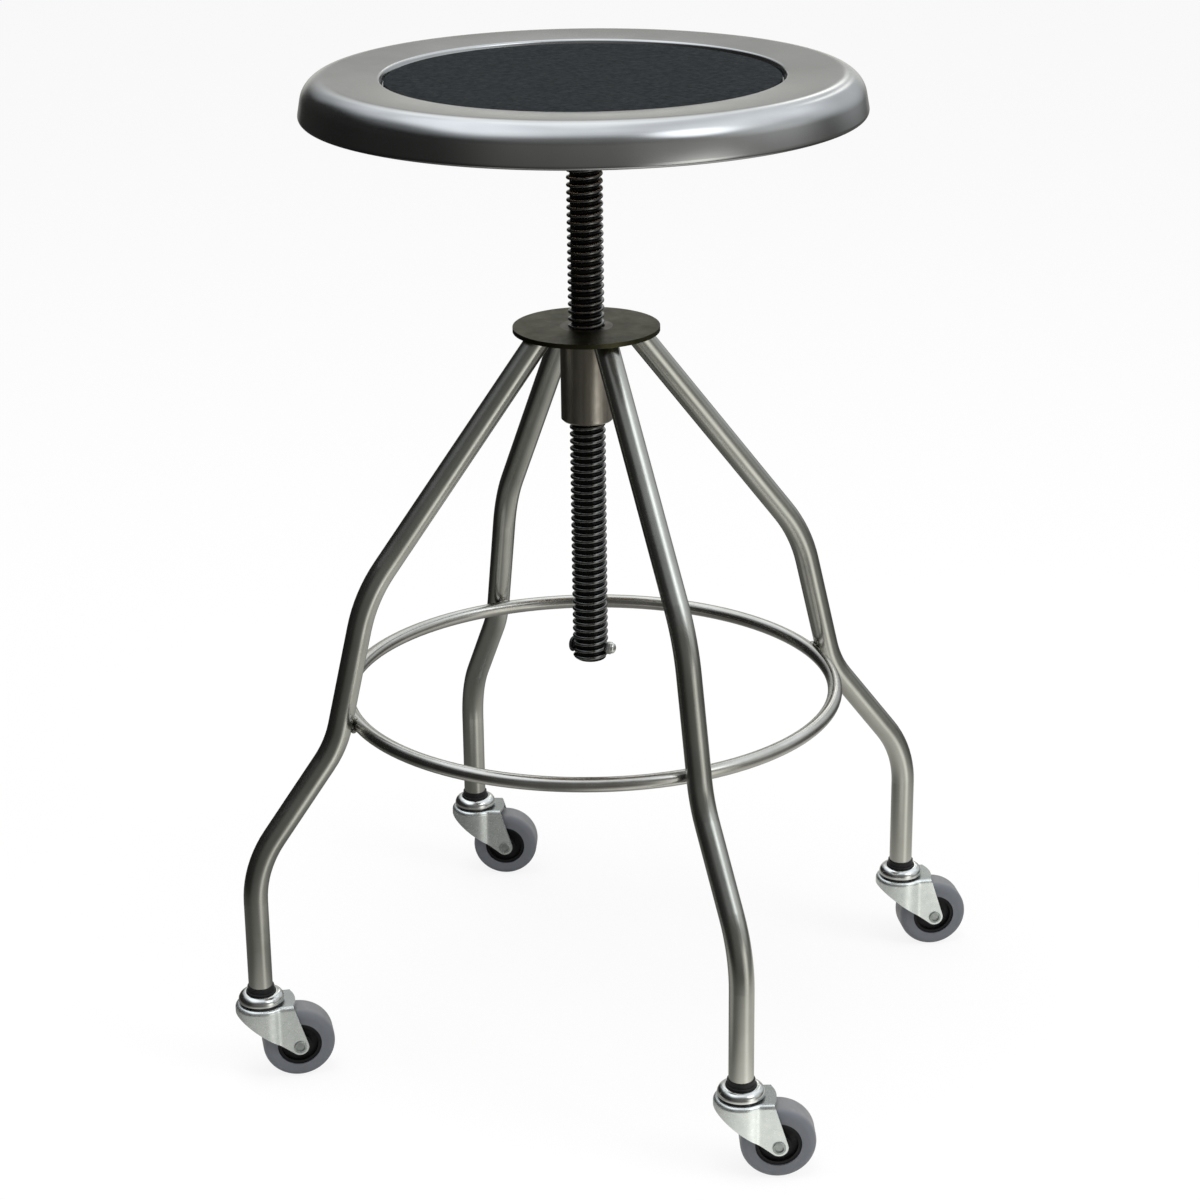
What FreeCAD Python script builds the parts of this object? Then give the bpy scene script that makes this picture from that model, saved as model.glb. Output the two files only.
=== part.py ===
import FreeCAD, Part
import math
import operator
import os
import Sketcher
from FreeCAD import Placement, Rotation, Vector

# Screw-lift stool on four swivel casters. Millimetres and degrees, +Z up, the floor at z = 0,
# the lift screw on the Z axis and one leg along each of the X and Y directions.
# Heights are above the floor, reaches are from the screw's axis.
sizes = {
    # seat pan, spun from sheet, with a recess for the pad
    "seat_radius": 177.8,
    "seat_top": 650.1,
    "seat_depth": 26.7,
    "seat_flare": 4.8,
    "seat_shoulder": 16.0,
    "rim_dish": 2.3,
    "seat_edge_round": 3.0,
    "seat_hem": 9.0,
    "seat_sheet": 1.2,
    "recess_radius": 124.8,
    "recess_depth": 7.5,
    "recess_lean": 1.5,
    "recess_lip_round": 2.0,
    "recess_foot_round": 1.0,
    "pad_gap": 1.3,
    "pad_thick": 3.2,
    "pad_round": 0.8,
    # what hangs under the pan and holds the screw
    "backing_radius": 112.0,
    "backing_thick": 9.0,
    "flange_radius": 48.0,
    "flange_thick": 4.0,
    "boss_radius": 19.0,
    "boss_length": 20.0,
    "fixing_reach": 35.0,
    "fixing_radius": 2.2,
    "fixing_depth": 7.0,
    "fixing_head_radius": 4.5,
    "fixing_head_height": 2.4,
    "bump_radius": 16.5,
    "bump_thick": 2.7,
    # lift screw and the bolt across its foot
    "screw_radius": 11.7,
    "screw_foot": 259.1,
    "screw_chamfer": 1.5,
    "stop_rise": 8.5,
    "stop_radius": 3.15,
    "stop_head_radius": 5.2,
    "stop_head_height": 3.0,
    "stop_head_round": 2.4,
    "stop_nut_radius": 4.2,
    "stop_nut_length": 6.0,
    "stop_nut_round": 2.0,
    "stop_angle": -43.0,
    # top plate and hub
    "plate_radius": 47.2,
    "plate_thick": 3.0,
    "plate_top": 486.9,
    "hub_radius": 17.0,
    "hub_length": 62.3,
    "hub_chamfer": 1.2,
    # legs, bent in a plane through the axis
    "leg_radius": 7.9375,
    "leg_wall": 1.65,
    "hip_reach": 30.7,
    "knee_reach": 154.6,
    "knee_height": 325.4,
    "knee_bend": 100.0,
    "shin_reach": 178.65,
    "shin_height": 227.0,
    "shin_bend": 65.0,
    "ankle_height": 150.4,
    "ankle_bend": 70.0,
    "foot_reach": 238.0,
    # foot ring inside the legs
    "ring_rod_radius": 4.7625,
    "ring_height": 238.9,
    "ring_weld_gap": 0.15,
    # caster wheel
    "wheel_radius": 23.8,
    "tyre_width": 21.4,
    "tyre_round": 4.8,
    "core_radius": 14.6,
    "core_rim_width": 19.4,
    "core_rim_wall": 2.2,
    "core_web_width": 14.0,
    "core_boss_radius": 7.5,
    "core_boss_width": 23.6,
    "bush_wall": 1.6,
    "axle_radius": 3.0,
    "axle_head_radius": 4.2,
    "axle_head_height": 1.2,
    # caster fork, pressed from sheet round the wheel
    "caster_lead": 22.8,
    "wheel_room": 4.0,
    "fork_sheet": 2.0,
    "fork_nose": 17.4,
    "fork_width": 28.4,
    "fork_eye": 5.8,
    "fork_skirt": 6.0,
    "fork_tail": 19.6,
    "fork_lip": 27.3,
    "fork_bend": 3.0,
    "fork_crease": 7.0,
    # caster swivel, cap and socket
    "cap_gap": 1.8,
    "cap_radius": 15.0,
    "cap_height": 5.6,
    "cap_sheet": 1.2,
    "cap_round": 4.9,
    "bearing_bore": 7.5,
    "bearing_radius": 11.5,
    "collar_radius": 8.8,
    "collar_height": 4.4,
    "socket_length": 34.0,
    "stem_radius": 3.97,
    "journal_radius": 5.0,
    "rivet_radius": 7.5,
    "rivet_height": 1.8,
    # clearances: radial in a tight fit, radial in a running fit, and between faces that pass each other
    "tight_gap": 0.02,
    "running_gap": 0.06,
    "face_gap": 0.35,
    # headings of the legs and of the casters that trail under them
    "leg_heading_right": 0.0,
    "leg_heading_back": 90.0,
    "leg_heading_left": 180.0,
    "leg_heading_front": 270.0,
    "trail_right": -14.0,
    "trail_back": -25.0,
    "trail_left": -11.0,
    "trail_front": -21.0,
}
sides = ("right", "back", "left", "front")
fixing_count = 4
past = 5.0  # how far a cutting outline runs past what it cuts
near = 1e-4  # how close a measured edge lies to its nominal place

doc = FreeCAD.newDocument("exam_stool")
sheet = doc.addObject("Spreadsheet::Sheet", "Sizes")
for row, (alias, number) in enumerate(sizes.items(), start=1):
    sheet.set(f"A{row}", alias)
    sheet.set(f"B{row}", str(number))
    sheet.setAlias(f"B{row}", alias)
doc.recompute()


class Dim:
    """A length or angle: its number, and the sheet expression that drives it."""

    def __init__(self, number, text):
        self.number = number
        self.text = text

    def joined(self, other, sign, work):
        other = other if isinstance(other, Dim) else Dim(other, f"{other}")
        return Dim(work(self.number, other.number), f"({self.text} {sign} {other.text})")

    def __add__(self, other):
        return self.joined(other, "+", operator.add)

    def __sub__(self, other):
        return self.joined(other, "-", operator.sub)

    def __mul__(self, other):
        return self.joined(other, "*", operator.mul)

    def __truediv__(self, other):
        return self.joined(other, "/", operator.truediv)

    def __neg__(self):
        return Dim(-self.number, f"(-{self.text})")

    def root(self):
        return Dim(math.sqrt(self.number), f"sqrt({self.text})")


size = {alias: Dim(float(sheet.get(alias)), f"Sizes.{alias}") for alias in sizes}
zero = Dim(0.0, "0")
nodes = []


def new_body(node):
    body = doc.addObject("PartDesign::Body", node)
    body.Label = node
    nodes.append(body)
    return body


def bind(thing, field, dim):
    thing.setExpression(field, dim.text)


def new_sketch(body, role, lift=zero):
    sketch = body.newObject("Sketcher::SketchObject", f"{body.Name}_sketch")
    plane = next(item for item in body.Origin.OriginFeatures if item.Role == role)
    sketch.AttachmentSupport = [(plane, "")]
    sketch.MapMode = "FlatFace"
    bind(sketch, "AttachmentOffset.Base.z", lift)
    return sketch


def constrain(sketch, kind, *where, dim=None):
    values = () if dim is None else (dim.number,)
    index = sketch.addConstraint(Sketcher.Constraint(kind, *where, *values))
    if dim is not None:
        sketch.setExpression(f"Constraints[{index}]", dim.text)


def pin(sketch, geometry, end, x, y):
    constrain(sketch, "DistanceX", -1, 1, geometry, end, dim=x)
    constrain(sketch, "DistanceY", -1, 1, geometry, end, dim=y)


def point(x, y):
    return Vector(x.number, y.number, 0)


def draw_polygon(sketch, corners):
    spots = [point(x, y) for x, y in corners]
    lines = []
    for start, end in zip(spots, spots[1:] + spots[:1]):
        lines.append(sketch.addGeometry(Part.LineSegment(start, end)))
    for line, following in zip(lines, lines[1:] + lines[:1]):
        constrain(sketch, "Coincident", line, 2, following, 1)
    for line, (x, y) in zip(lines, corners):
        pin(sketch, line, 1, x, y)


def draw_circle(sketch, radius, x=zero, y=zero):
    circle = sketch.addGeometry(Part.Circle(point(x, y), Vector(0, 0, 1), radius.number))
    constrain(sketch, "Radius", circle, dim=radius)
    pin(sketch, circle, 3, x, y)


def revolve(body, corners):
    sketch = new_sketch(body, "XZ_Plane")
    draw_polygon(sketch, corners)
    turn = body.newObject("PartDesign::Revolution", f"{body.Name}_turn")
    turn.Profile = sketch
    turn.ReferenceAxis = (sketch, ["V_Axis"])
    turn.Angle = 360
    doc.recompute()


def pad(body, sketch, length):
    feature = body.newObject("PartDesign::Pad", f"{body.Name}_pad")
    feature.Profile = sketch
    bind(feature, "Length", length)
    doc.recompute()
    return feature


def cut(body, sketch, length=None, upward=False, both_ways=False):
    before = body.Shape.Volume
    pocket = body.newObject("PartDesign::Pocket", f"{body.Name}_pocket")
    pocket.Profile = sketch
    pocket.Reversed = upward
    pocket.Midplane = both_ways
    if length is None:
        pocket.Type = "ThroughAll"
    else:
        bind(pocket, "Length", length)
    doc.recompute()
    if not body.Shape.Volume < before:
        raise RuntimeError(f"{pocket.Name} removes nothing")


def ring_edge(radius, height):
    def picks(edge):
        curve = edge.Curve
        if curve.TypeId != "Part::GeomCircle":
            return False
        return abs(curve.Radius - radius.number) < near and abs(curve.Center.z - height.number) < near

    return picks


def dress(body, kind, field, amount, picks):
    base = body.Tip
    edges = [f"Edge{i}" for i, edge in enumerate(base.Shape.Edges, start=1) if picks(edge)]
    feature = body.newObject(f"PartDesign::{kind}", f"{body.Name}_{kind.lower()}")
    feature.Base = (base, edges)
    bind(feature, field, amount)
    doc.recompute()


def fillet(body, radius, picks):
    dress(body, "Fillet", "Radius", radius, picks)


def chamfer(body, width, picks):
    dress(body, "Chamfer", "Size", width, picks)


# Heights of the seat's layers, from the rim down to the bump washer
pan_floor = size["seat_top"] - size["recess_depth"]
pan_under = pan_floor - size["seat_sheet"]
backing_under = pan_under - size["backing_thick"]
flange_under = backing_under - size["flange_thick"]
boss_under = flange_under - size["boss_length"]
stop_height = size["screw_foot"] + size["stop_rise"]
screw_bore = size["screw_radius"] + size["tight_gap"]
screw_slip = size["screw_radius"] + size["running_gap"]

# Heights of the caster's layers, from the wheel up to the tube's end
fork_top = size["wheel_radius"] * 2 + size["wheel_room"] + size["fork_sheet"]
fork_under = fork_top - size["fork_sheet"]
cap_rim = fork_top + size["cap_gap"]
cap_top = cap_rim + size["cap_height"]
cap_under = cap_top - size["cap_sheet"]
tube_end = cap_top + size["collar_height"]
cheek_outside = size["fork_width"] / 2
cheek_inside = cheek_outside - size["fork_sheet"]
bush_radius = size["axle_radius"] + size["running_gap"] + size["bush_wall"]

plate_under = size["plate_top"] - size["plate_thick"]
hub_under = size["plate_top"] - size["hub_length"]
fixing_spots = (
    (size["fixing_reach"], zero),
    (zero, size["fixing_reach"]),
    (-size["fixing_reach"], zero),
    (zero, -size["fixing_reach"]),
)


def slant(run, rise):
    """Length of a leaning wall's section for each unit of its height."""
    return (run * run + rise * rise).root() / rise


def make_seat_shell():
    body = new_body("seat_shell")
    top = size["seat_top"]
    lip_top = top - size["rim_dish"]
    lip_rise = lip_top - pan_floor
    sheet_thick = size["seat_sheet"]
    hem = top - size["seat_depth"]
    hem_reach = size["seat_radius"] - size["seat_hem"]
    brow = size["seat_radius"] - size["seat_flare"]
    lip = size["recess_radius"] + size["recess_lean"]
    side_wall = sheet_thick * slant(size["seat_flare"], size["seat_depth"])
    side_lean = sheet_thick * size["seat_flare"] / size["seat_depth"]
    recess_wall = sheet_thick * slant(size["recess_lean"], lip_rise)
    recess_lean = sheet_thick * size["recess_lean"] / lip_rise
    inner_hem = size["seat_radius"] - side_lean - side_wall
    inner_brow = brow + side_lean - side_wall
    inner_lip = lip - recess_lean + recess_wall
    inner_foot = size["recess_radius"] - recess_lean + recess_wall
    revolve(body, (
        (zero, pan_floor),
        (size["recess_radius"], pan_floor),
        (lip, lip_top),
        (brow, top),
        (size["seat_radius"], hem),
        (hem_reach, hem),
        (hem_reach, hem + sheet_thick),
        (inner_hem, hem + sheet_thick),
        (inner_brow, top - sheet_thick),
        (inner_lip, lip_top - sheet_thick),
        (inner_foot, pan_under),
        (zero, pan_under),
    ))
    fillet(body, size["seat_shoulder"], ring_edge(brow, top))
    fillet(body, size["seat_shoulder"] - sheet_thick, ring_edge(inner_brow, top - sheet_thick))
    fillet(body, size["seat_edge_round"], ring_edge(size["seat_radius"], hem))
    fillet(body, size["seat_edge_round"] - sheet_thick, ring_edge(inner_hem, hem + sheet_thick))
    fillet(body, size["recess_lip_round"], ring_edge(lip, lip_top))
    fillet(body, size["recess_lip_round"] - sheet_thick, ring_edge(inner_lip, lip_top - sheet_thick))
    fillet(body, size["recess_foot_round"], ring_edge(size["recess_radius"], pan_floor))
    fillet(body, size["recess_foot_round"] + sheet_thick, ring_edge(inner_foot, pan_under))


def make_seat_pad():
    body = new_body("seat_pad")
    radius = size["recess_radius"] - size["pad_gap"]
    top = pan_floor + size["pad_thick"]
    revolve(body, ((zero, pan_floor), (radius, pan_floor), (radius, top), (zero, top)))
    fillet(body, size["pad_round"], ring_edge(radius, top))


def make_seat_backing():
    body = new_body("seat_backing")
    sketch = new_sketch(body, "XY_Plane", backing_under)
    draw_circle(sketch, size["backing_radius"])
    for x, y in fixing_spots:
        draw_circle(sketch, size["fixing_radius"] + size["tight_gap"], x, y)
    pad(body, sketch, size["backing_thick"])


def make_seat_flange():
    body = new_body("seat_flange")
    revolve(body, (
        (screw_bore, boss_under),
        (size["boss_radius"], boss_under),
        (size["boss_radius"], flange_under),
        (size["flange_radius"], flange_under),
        (size["flange_radius"], backing_under),
        (screw_bore, backing_under),
    ))
    sketch = new_sketch(body, "XY_Plane", flange_under)
    for x, y in fixing_spots:
        draw_circle(sketch, size["fixing_radius"] + size["tight_gap"], x, y)
    cut(body, sketch, size["flange_thick"], upward=True)


def make_flange_screws():
    body = new_body("flange_screws")
    shank = new_sketch(body, "XY_Plane", flange_under)
    draw_circle(shank, size["fixing_radius"], *fixing_spots[0])
    shank_pad = pad(body, shank, size["flange_thick"] + size["fixing_depth"])
    head = new_sketch(body, "XY_Plane", flange_under - size["fixing_head_height"])
    draw_circle(head, size["fixing_head_radius"], *fixing_spots[0])
    head_pad = pad(body, head, size["fixing_head_height"])
    pattern = body.newObject("PartDesign::PolarPattern", "flange_screws_pattern")
    pattern.Originals = [shank_pad, head_pad]
    pattern.Axis = (shank, ["N_Axis"])
    pattern.Angle = 360
    pattern.Occurrences = fixing_count
    body.Tip = pattern
    doc.recompute()


def make_bump_washer():
    body = new_body("bump_washer")
    top = boss_under - size["face_gap"]
    low = top - size["bump_thick"]
    radius = size["bump_radius"]
    revolve(body, ((screw_slip, low), (radius, low), (radius, top), (screw_slip, top)))


def make_lift_screw():
    body = new_body("lift_screw")
    foot = size["screw_foot"]
    radius = size["screw_radius"]
    revolve(body, ((zero, foot), (radius, foot), (radius, backing_under), (zero, backing_under)))
    chamfer(body, size["screw_chamfer"], ring_edge(radius, foot))
    sketch = new_sketch(body, "YZ_Plane")
    draw_circle(sketch, size["stop_radius"] + size["tight_gap"], zero, stop_height)
    cut(body, sketch, both_ways=True)
    body.Placement = Placement(Vector(), Rotation(Vector(0, 0, 1), size["stop_angle"].number))


def lay_across_screw(body):
    """Turn a piece made along Z to lie through the screw's foot."""
    heading = Rotation(Vector(0, 0, 1), size["stop_angle"].number)
    lying = Rotation(Vector(0, 1, 0), 90)
    body.Placement = Placement(Vector(0, 0, stop_height.number), heading * lying)


def make_stop_bolt():
    body = new_body("stop_bolt")
    start = -size["screw_radius"]
    head = start - size["stop_head_height"]
    end = size["screw_radius"] + size["stop_nut_length"] / 2
    revolve(body, (
        (zero, head),
        (size["stop_head_radius"], head),
        (size["stop_head_radius"], start),
        (size["stop_radius"], start),
        (size["stop_radius"], end),
        (zero, end),
    ))
    fillet(body, size["stop_head_round"], ring_edge(size["stop_head_radius"], head))
    lay_across_screw(body)


def make_stop_nut():
    body = new_body("stop_nut")
    start = size["screw_radius"]
    end = start + size["stop_nut_length"]
    bore = size["stop_radius"] + size["tight_gap"]
    bore_end = start + size["stop_nut_length"] / 2 + size["tight_gap"]
    revolve(body, (
        (bore, start),
        (size["stop_nut_radius"], start),
        (size["stop_nut_radius"], end),
        (zero, end),
        (zero, bore_end),
        (bore, bore_end),
    ))
    fillet(body, size["stop_nut_round"], ring_edge(size["stop_nut_radius"], end))
    lay_across_screw(body)


def make_top_plate():
    body = new_body("top_plate")
    sketch = new_sketch(body, "XY_Plane", plate_under)
    draw_circle(sketch, size["plate_radius"])
    draw_circle(sketch, size["hub_radius"] + size["tight_gap"])
    pad(body, sketch, size["plate_thick"])


def make_hub():
    body = new_body("hub")
    radius = size["hub_radius"]
    top = size["plate_top"]
    revolve(body, ((screw_slip, hub_under), (radius, hub_under), (radius, top), (screw_slip, top)))
    chamfer(body, size["hub_chamfer"], ring_edge(radius, hub_under))


def draw_bent_path(sketch, corners, bends):
    """Straight runs through the corners, joined by tangent arcs of the given radii."""
    spots = [point(x, y) for x, y in corners]
    starts = [spots[0]]
    ends = []
    arcs = []
    for before, corner, after, bend in zip(spots, spots[1:], spots[2:], bends):
        back = (before - corner).normalize()
        ahead = (after - corner).normalize()
        half = back.getAngle(ahead) / 2
        tangent = bend.number / math.tan(half)
        middle = (back + ahead).normalize() * (bend.number / math.sin(half) - bend.number)
        arcs.append(Part.Arc(corner + back * tangent, corner + middle, corner + ahead * tangent))
        ends.append(corner + back * tangent)
        starts.append(corner + ahead * tangent)
    ends.append(spots[-1])
    runs = [sketch.addGeometry(Part.LineSegment(a, b)) for a, b in zip(starts, ends)]
    pin(sketch, runs[0], 1, *corners[0])
    pin(sketch, runs[-1], 2, *corners[-1])
    for run, following, arc, corner, bend in zip(runs, runs[1:], arcs, corners[1:], bends):
        curve = sketch.addGeometry(arc)
        joint = sketch.getPoint(run, 2)
        starts_first = sketch.getPoint(curve, 1).distanceToPoint(joint) < near
        constrain(sketch, "Tangent", run, 2, curve, 1 if starts_first else 2)
        constrain(sketch, "Tangent", curve, 2 if starts_first else 1, following, 1)
        constrain(sketch, "Radius", curve, dim=bend)
        mark = sketch.addGeometry(Part.Point(point(*corner)), True)
        constrain(sketch, "PointOnObject", mark, 1, run)
        constrain(sketch, "PointOnObject", mark, 1, following)
        pin(sketch, mark, 1, *corner)


def make_leg(side):
    body = new_body(f"leg_{side}")
    overrun = 0.15
    crown_reach = size["hip_reach"] - (size["knee_reach"] - size["hip_reach"]) * overrun
    crown_height = plate_under + (plate_under - size["knee_height"]) * overrun
    path = new_sketch(body, "XZ_Plane")
    draw_bent_path(path, (
        (size["foot_reach"], tube_end),
        (size["foot_reach"], size["ankle_height"]),
        (size["shin_reach"], size["shin_height"]),
        (size["knee_reach"], size["knee_height"]),
        (crown_reach, crown_height),
    ), (size["ankle_bend"], size["shin_bend"], size["knee_bend"]))
    section = new_sketch(body, "XY_Plane", tube_end)
    draw_circle(section, size["leg_radius"], size["foot_reach"])
    draw_circle(section, size["leg_radius"] - size["leg_wall"], size["foot_reach"])
    tube = body.newObject("PartDesign::AdditivePipe", f"{body.Name}_tube")
    tube.Profile = section
    tube.Spine = (path, [])
    doc.recompute()
    trim = new_sketch(body, "XY_Plane", plate_under)
    draw_circle(trim, size["knee_reach"])
    cut(body, trim, upward=True)
    body.Placement = Placement(Vector(), Rotation(Vector(0, 0, 1), size[f"leg_heading_{side}"].number))


def make_foot_ring():
    body = new_body("foot_ring")
    rise = size["knee_height"] - size["shin_height"]
    spread = size["shin_reach"] - size["knee_reach"]
    slope_length = (rise * rise + spread * spread).root()
    leg_reach = size["shin_reach"] - (size["ring_height"] - size["shin_height"]) * spread / rise
    standoff = size["leg_radius"] + size["ring_rod_radius"] + size["ring_weld_gap"]
    ring_reach = leg_reach - standoff * slope_length / rise
    sketch = new_sketch(body, "XZ_Plane")
    draw_circle(sketch, size["ring_rod_radius"], ring_reach, size["ring_height"])
    turn = body.newObject("PartDesign::Revolution", "foot_ring_turn")
    turn.Profile = sketch
    turn.ReferenceAxis = (sketch, ["V_Axis"])
    turn.Angle = 360
    doc.recompute()


def make_caster_socket(side):
    body = new_body(f"caster_socket_{side}")
    bore = size["stem_radius"] + size["tight_gap"]
    sleeve = size["leg_radius"] - size["leg_wall"] - size["tight_gap"]
    top = tube_end + size["socket_length"]
    revolve(body, (
        (bore, cap_top),
        (size["collar_radius"], cap_top),
        (size["collar_radius"], tube_end),
        (sleeve, tube_end),
        (sleeve, top),
        (bore, top),
    ))
    return body


def make_caster_stem(side):
    body = new_body(f"caster_stem_{side}")
    rivet_top = fork_under - size["face_gap"]
    rivet_low = rivet_top - size["rivet_height"]
    top = tube_end + size["socket_length"]
    revolve(body, (
        (zero, rivet_low),
        (size["rivet_radius"], rivet_low),
        (size["rivet_radius"], rivet_top),
        (size["journal_radius"], rivet_top),
        (size["journal_radius"], cap_under),
        (size["stem_radius"], cap_under),
        (size["stem_radius"], top),
        (zero, top),
    ))
    return body


def make_caster_cap(side):
    body = new_body(f"caster_cap_{side}")
    bore = size["stem_radius"] + size["tight_gap"]
    inside = size["cap_radius"] - size["cap_sheet"]
    revolve(body, (
        (bore, cap_under),
        (inside, cap_under),
        (inside, cap_rim),
        (size["cap_radius"], cap_rim),
        (size["cap_radius"], cap_top),
        (bore, cap_top),
    ))
    fillet(body, size["cap_round"], ring_edge(size["cap_radius"], cap_top))
    fillet(body, size["cap_round"] - size["cap_sheet"], ring_edge(inside, cap_under))
    return body


def make_caster_bearing(side):
    body = new_body(f"caster_bearing_{side}")
    low = fork_top
    top = cap_under - size["face_gap"]
    bore = size["bearing_bore"]
    radius = size["bearing_radius"]
    revolve(body, ((bore, low), (radius, low), (radius, top), (bore, top)))
    return body


def draw_fork_plan(sketch, nose, half_width, tail):
    """Round nose about the stem, running into two straight cheeks."""
    turn = math.asin(half_width.number / nose.number)
    circle = Part.Circle(Vector(), Vector(0, 0, 1), nose.number)
    arc = sketch.addGeometry(Part.ArcOfCircle(circle, turn, 2 * math.pi - turn))
    near_crease = sketch.getPoint(arc, 2)
    far_crease = sketch.getPoint(arc, 1)
    near_tail = point(tail, -half_width)
    far_tail = point(tail, half_width)
    near_cheek = sketch.addGeometry(Part.LineSegment(near_crease, near_tail))
    back = sketch.addGeometry(Part.LineSegment(near_tail, far_tail))
    far_cheek = sketch.addGeometry(Part.LineSegment(far_tail, far_crease))
    constrain(sketch, "Coincident", arc, 2, near_cheek, 1)
    constrain(sketch, "Coincident", near_cheek, 2, back, 1)
    constrain(sketch, "Coincident", back, 2, far_cheek, 1)
    constrain(sketch, "Coincident", far_cheek, 2, arc, 1)
    constrain(sketch, "Coincident", arc, 3, -1, 1)
    constrain(sketch, "Radius", arc, dim=nose)
    constrain(sketch, "Horizontal", near_cheek)
    constrain(sketch, "Horizontal", far_cheek)
    pin(sketch, back, 1, tail, -half_width)
    pin(sketch, back, 2, tail, half_width)


def tangent_angle(centre, radius, spot, turn):
    """Where on a circle the straight line from a spot outside it touches, on the side turned to."""
    away = spot - centre
    return math.atan2(away.y, away.x) + turn * math.acos(radius / away.Length)


def draw_fork_side(sketch):
    """The cheek's side outline, from the nose to the axle eye, inside a frame that is cut away."""
    nose = -size["fork_nose"]
    skirt = fork_top - size["fork_skirt"]
    eye = point(size["caster_lead"], size["wheel_radius"])
    radius = size["fork_eye"].number
    circle = Part.Circle(eye, Vector(0, 0, 1), radius)
    tail_angle = tangent_angle(eye, radius, point(size["fork_tail"], fork_top), -1)
    skirt_angle = tangent_angle(eye, radius, point(nose, skirt), 1)
    corners = (
        (size["fork_tail"], fork_top),
        (size["fork_tail"], fork_top + past),
        (nose - past, fork_top + past),
        (nose - past, skirt),
        (nose, skirt),
    )
    spots = [point(x, y) for x, y in corners]
    lines = [sketch.addGeometry(Part.LineSegment(a, b)) for a, b in zip(spots, spots[1:])]
    for line, following in zip(lines, lines[1:]):
        constrain(sketch, "Coincident", line, 2, following, 1)
    for line, (x, y) in zip(lines, corners):
        pin(sketch, line, 1, x, y)
    pin(sketch, lines[-1], 2, *corners[-1])
    arc = sketch.addGeometry(Part.ArcOfCircle(circle, skirt_angle - 2 * math.pi, tail_angle))
    lower = sketch.addGeometry(Part.LineSegment(spots[-1], sketch.getPoint(arc, 1)))
    rear = sketch.addGeometry(Part.LineSegment(sketch.getPoint(arc, 2), spots[0]))
    constrain(sketch, "Coincident", lines[-1], 2, lower, 1)
    constrain(sketch, "Tangent", lower, 2, arc, 1)
    constrain(sketch, "Tangent", arc, 2, rear, 1)
    constrain(sketch, "Coincident", rear, 2, lines[0], 1)
    constrain(sketch, "Radius", arc, dim=size["fork_eye"])
    pin(sketch, arc, 3, size["caster_lead"], size["wheel_radius"])


def draw_fork_lip(sketch):
    """Curved lip behind the flat top, between the bends of the two cheeks."""
    half_width = cheek_outside - size["fork_bend"]
    tail = size["fork_tail"]
    front = tail - size["fork_sheet"]
    corners = ((tail, half_width), (front, half_width), (front, -half_width), (tail, -half_width))
    spots = [point(x, y) for x, y in corners]
    lines = [sketch.addGeometry(Part.LineSegment(a, b)) for a, b in zip(spots, spots[1:])]
    for line, following in zip(lines, lines[1:]):
        constrain(sketch, "Coincident", line, 2, following, 1)
    for line, (x, y) in zip(lines, corners):
        pin(sketch, line, 1, x, y)
    pin(sketch, lines[-1], 2, *corners[-1])
    radius = size["fork_lip"].number
    turn = math.asin(half_width.number / radius)
    centre = Vector(tail.number - radius * math.cos(turn), 0, 0)
    arc = sketch.addGeometry(Part.ArcOfCircle(Part.Circle(centre, Vector(0, 0, 1), radius), -turn, turn))
    constrain(sketch, "Coincident", lines[-1], 2, arc, 1)
    constrain(sketch, "Coincident", arc, 2, lines[0], 1)
    constrain(sketch, "Radius", arc, dim=size["fork_lip"])


def upright_edge(x, y):
    def picks(edge):
        if edge.Curve.TypeId != "Part::GeomLine":
            return False
        ends = [vertex.Point for vertex in edge.Vertexes]
        return all(abs(end.x - x) < near and abs(abs(end.y) - y) < near for end in ends)

    return picks


def make_caster_fork(side):
    body = new_body(f"caster_fork_{side}")
    low = size["wheel_radius"] - size["fork_eye"] - past
    tail = size["caster_lead"] + size["fork_eye"] + past
    nose = size["fork_nose"]
    plan = new_sketch(body, "XY_Plane", low)
    draw_fork_plan(plan, nose, cheek_outside, tail)
    pad(body, plan, fork_top - low)
    crease = math.sqrt(nose.number ** 2 - cheek_outside.number ** 2)
    fillet(body, size["fork_crease"], upright_edge(crease, cheek_outside.number))

    def top_edge(edge):
        box = edge.BoundBox
        return box.ZMin > fork_top.number - near and box.XMin < tail.number - past

    fillet(body, size["fork_bend"], top_edge)
    inside = new_sketch(body, "XY_Plane", low)
    draw_fork_plan(inside, nose - size["fork_sheet"], cheek_inside, tail + past)
    cut(body, inside, fork_under - low, upward=True)
    outline = new_sketch(body, "XZ_Plane")
    frame_low = low - past
    frame_high = fork_top + past * 2
    draw_polygon(outline, (
        (-nose - past * 2, frame_low),
        (tail + past, frame_low),
        (tail + past, frame_high),
        (-nose - past * 2, frame_high),
    ))
    draw_fork_side(outline)
    cut(body, outline, both_ways=True)
    lip = new_sketch(body, "XY_Plane", fork_under)
    draw_fork_lip(lip)
    pad(body, lip, size["fork_sheet"])
    axle_hole = new_sketch(body, "XZ_Plane")
    axle_bore = size["axle_radius"] + size["tight_gap"]
    draw_circle(axle_hole, axle_bore, size["caster_lead"], size["wheel_radius"])
    cut(body, axle_hole, both_ways=True)
    stem_hole = new_sketch(body, "XY_Plane", fork_under)
    draw_circle(stem_hole, size["journal_radius"] + size["running_gap"])
    cut(body, stem_hole, upward=True)
    return body


def make_caster_axle(side):
    body = new_body(f"caster_axle_{side}")
    end = cheek_outside + size["axle_head_height"]
    head = size["axle_head_radius"]
    revolve(body, (
        (zero, -end),
        (head, -end),
        (head, -cheek_outside),
        (size["axle_radius"], -cheek_outside),
        (size["axle_radius"], cheek_outside),
        (head, cheek_outside),
        (head, end),
        (zero, end),
    ))
    return body


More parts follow.
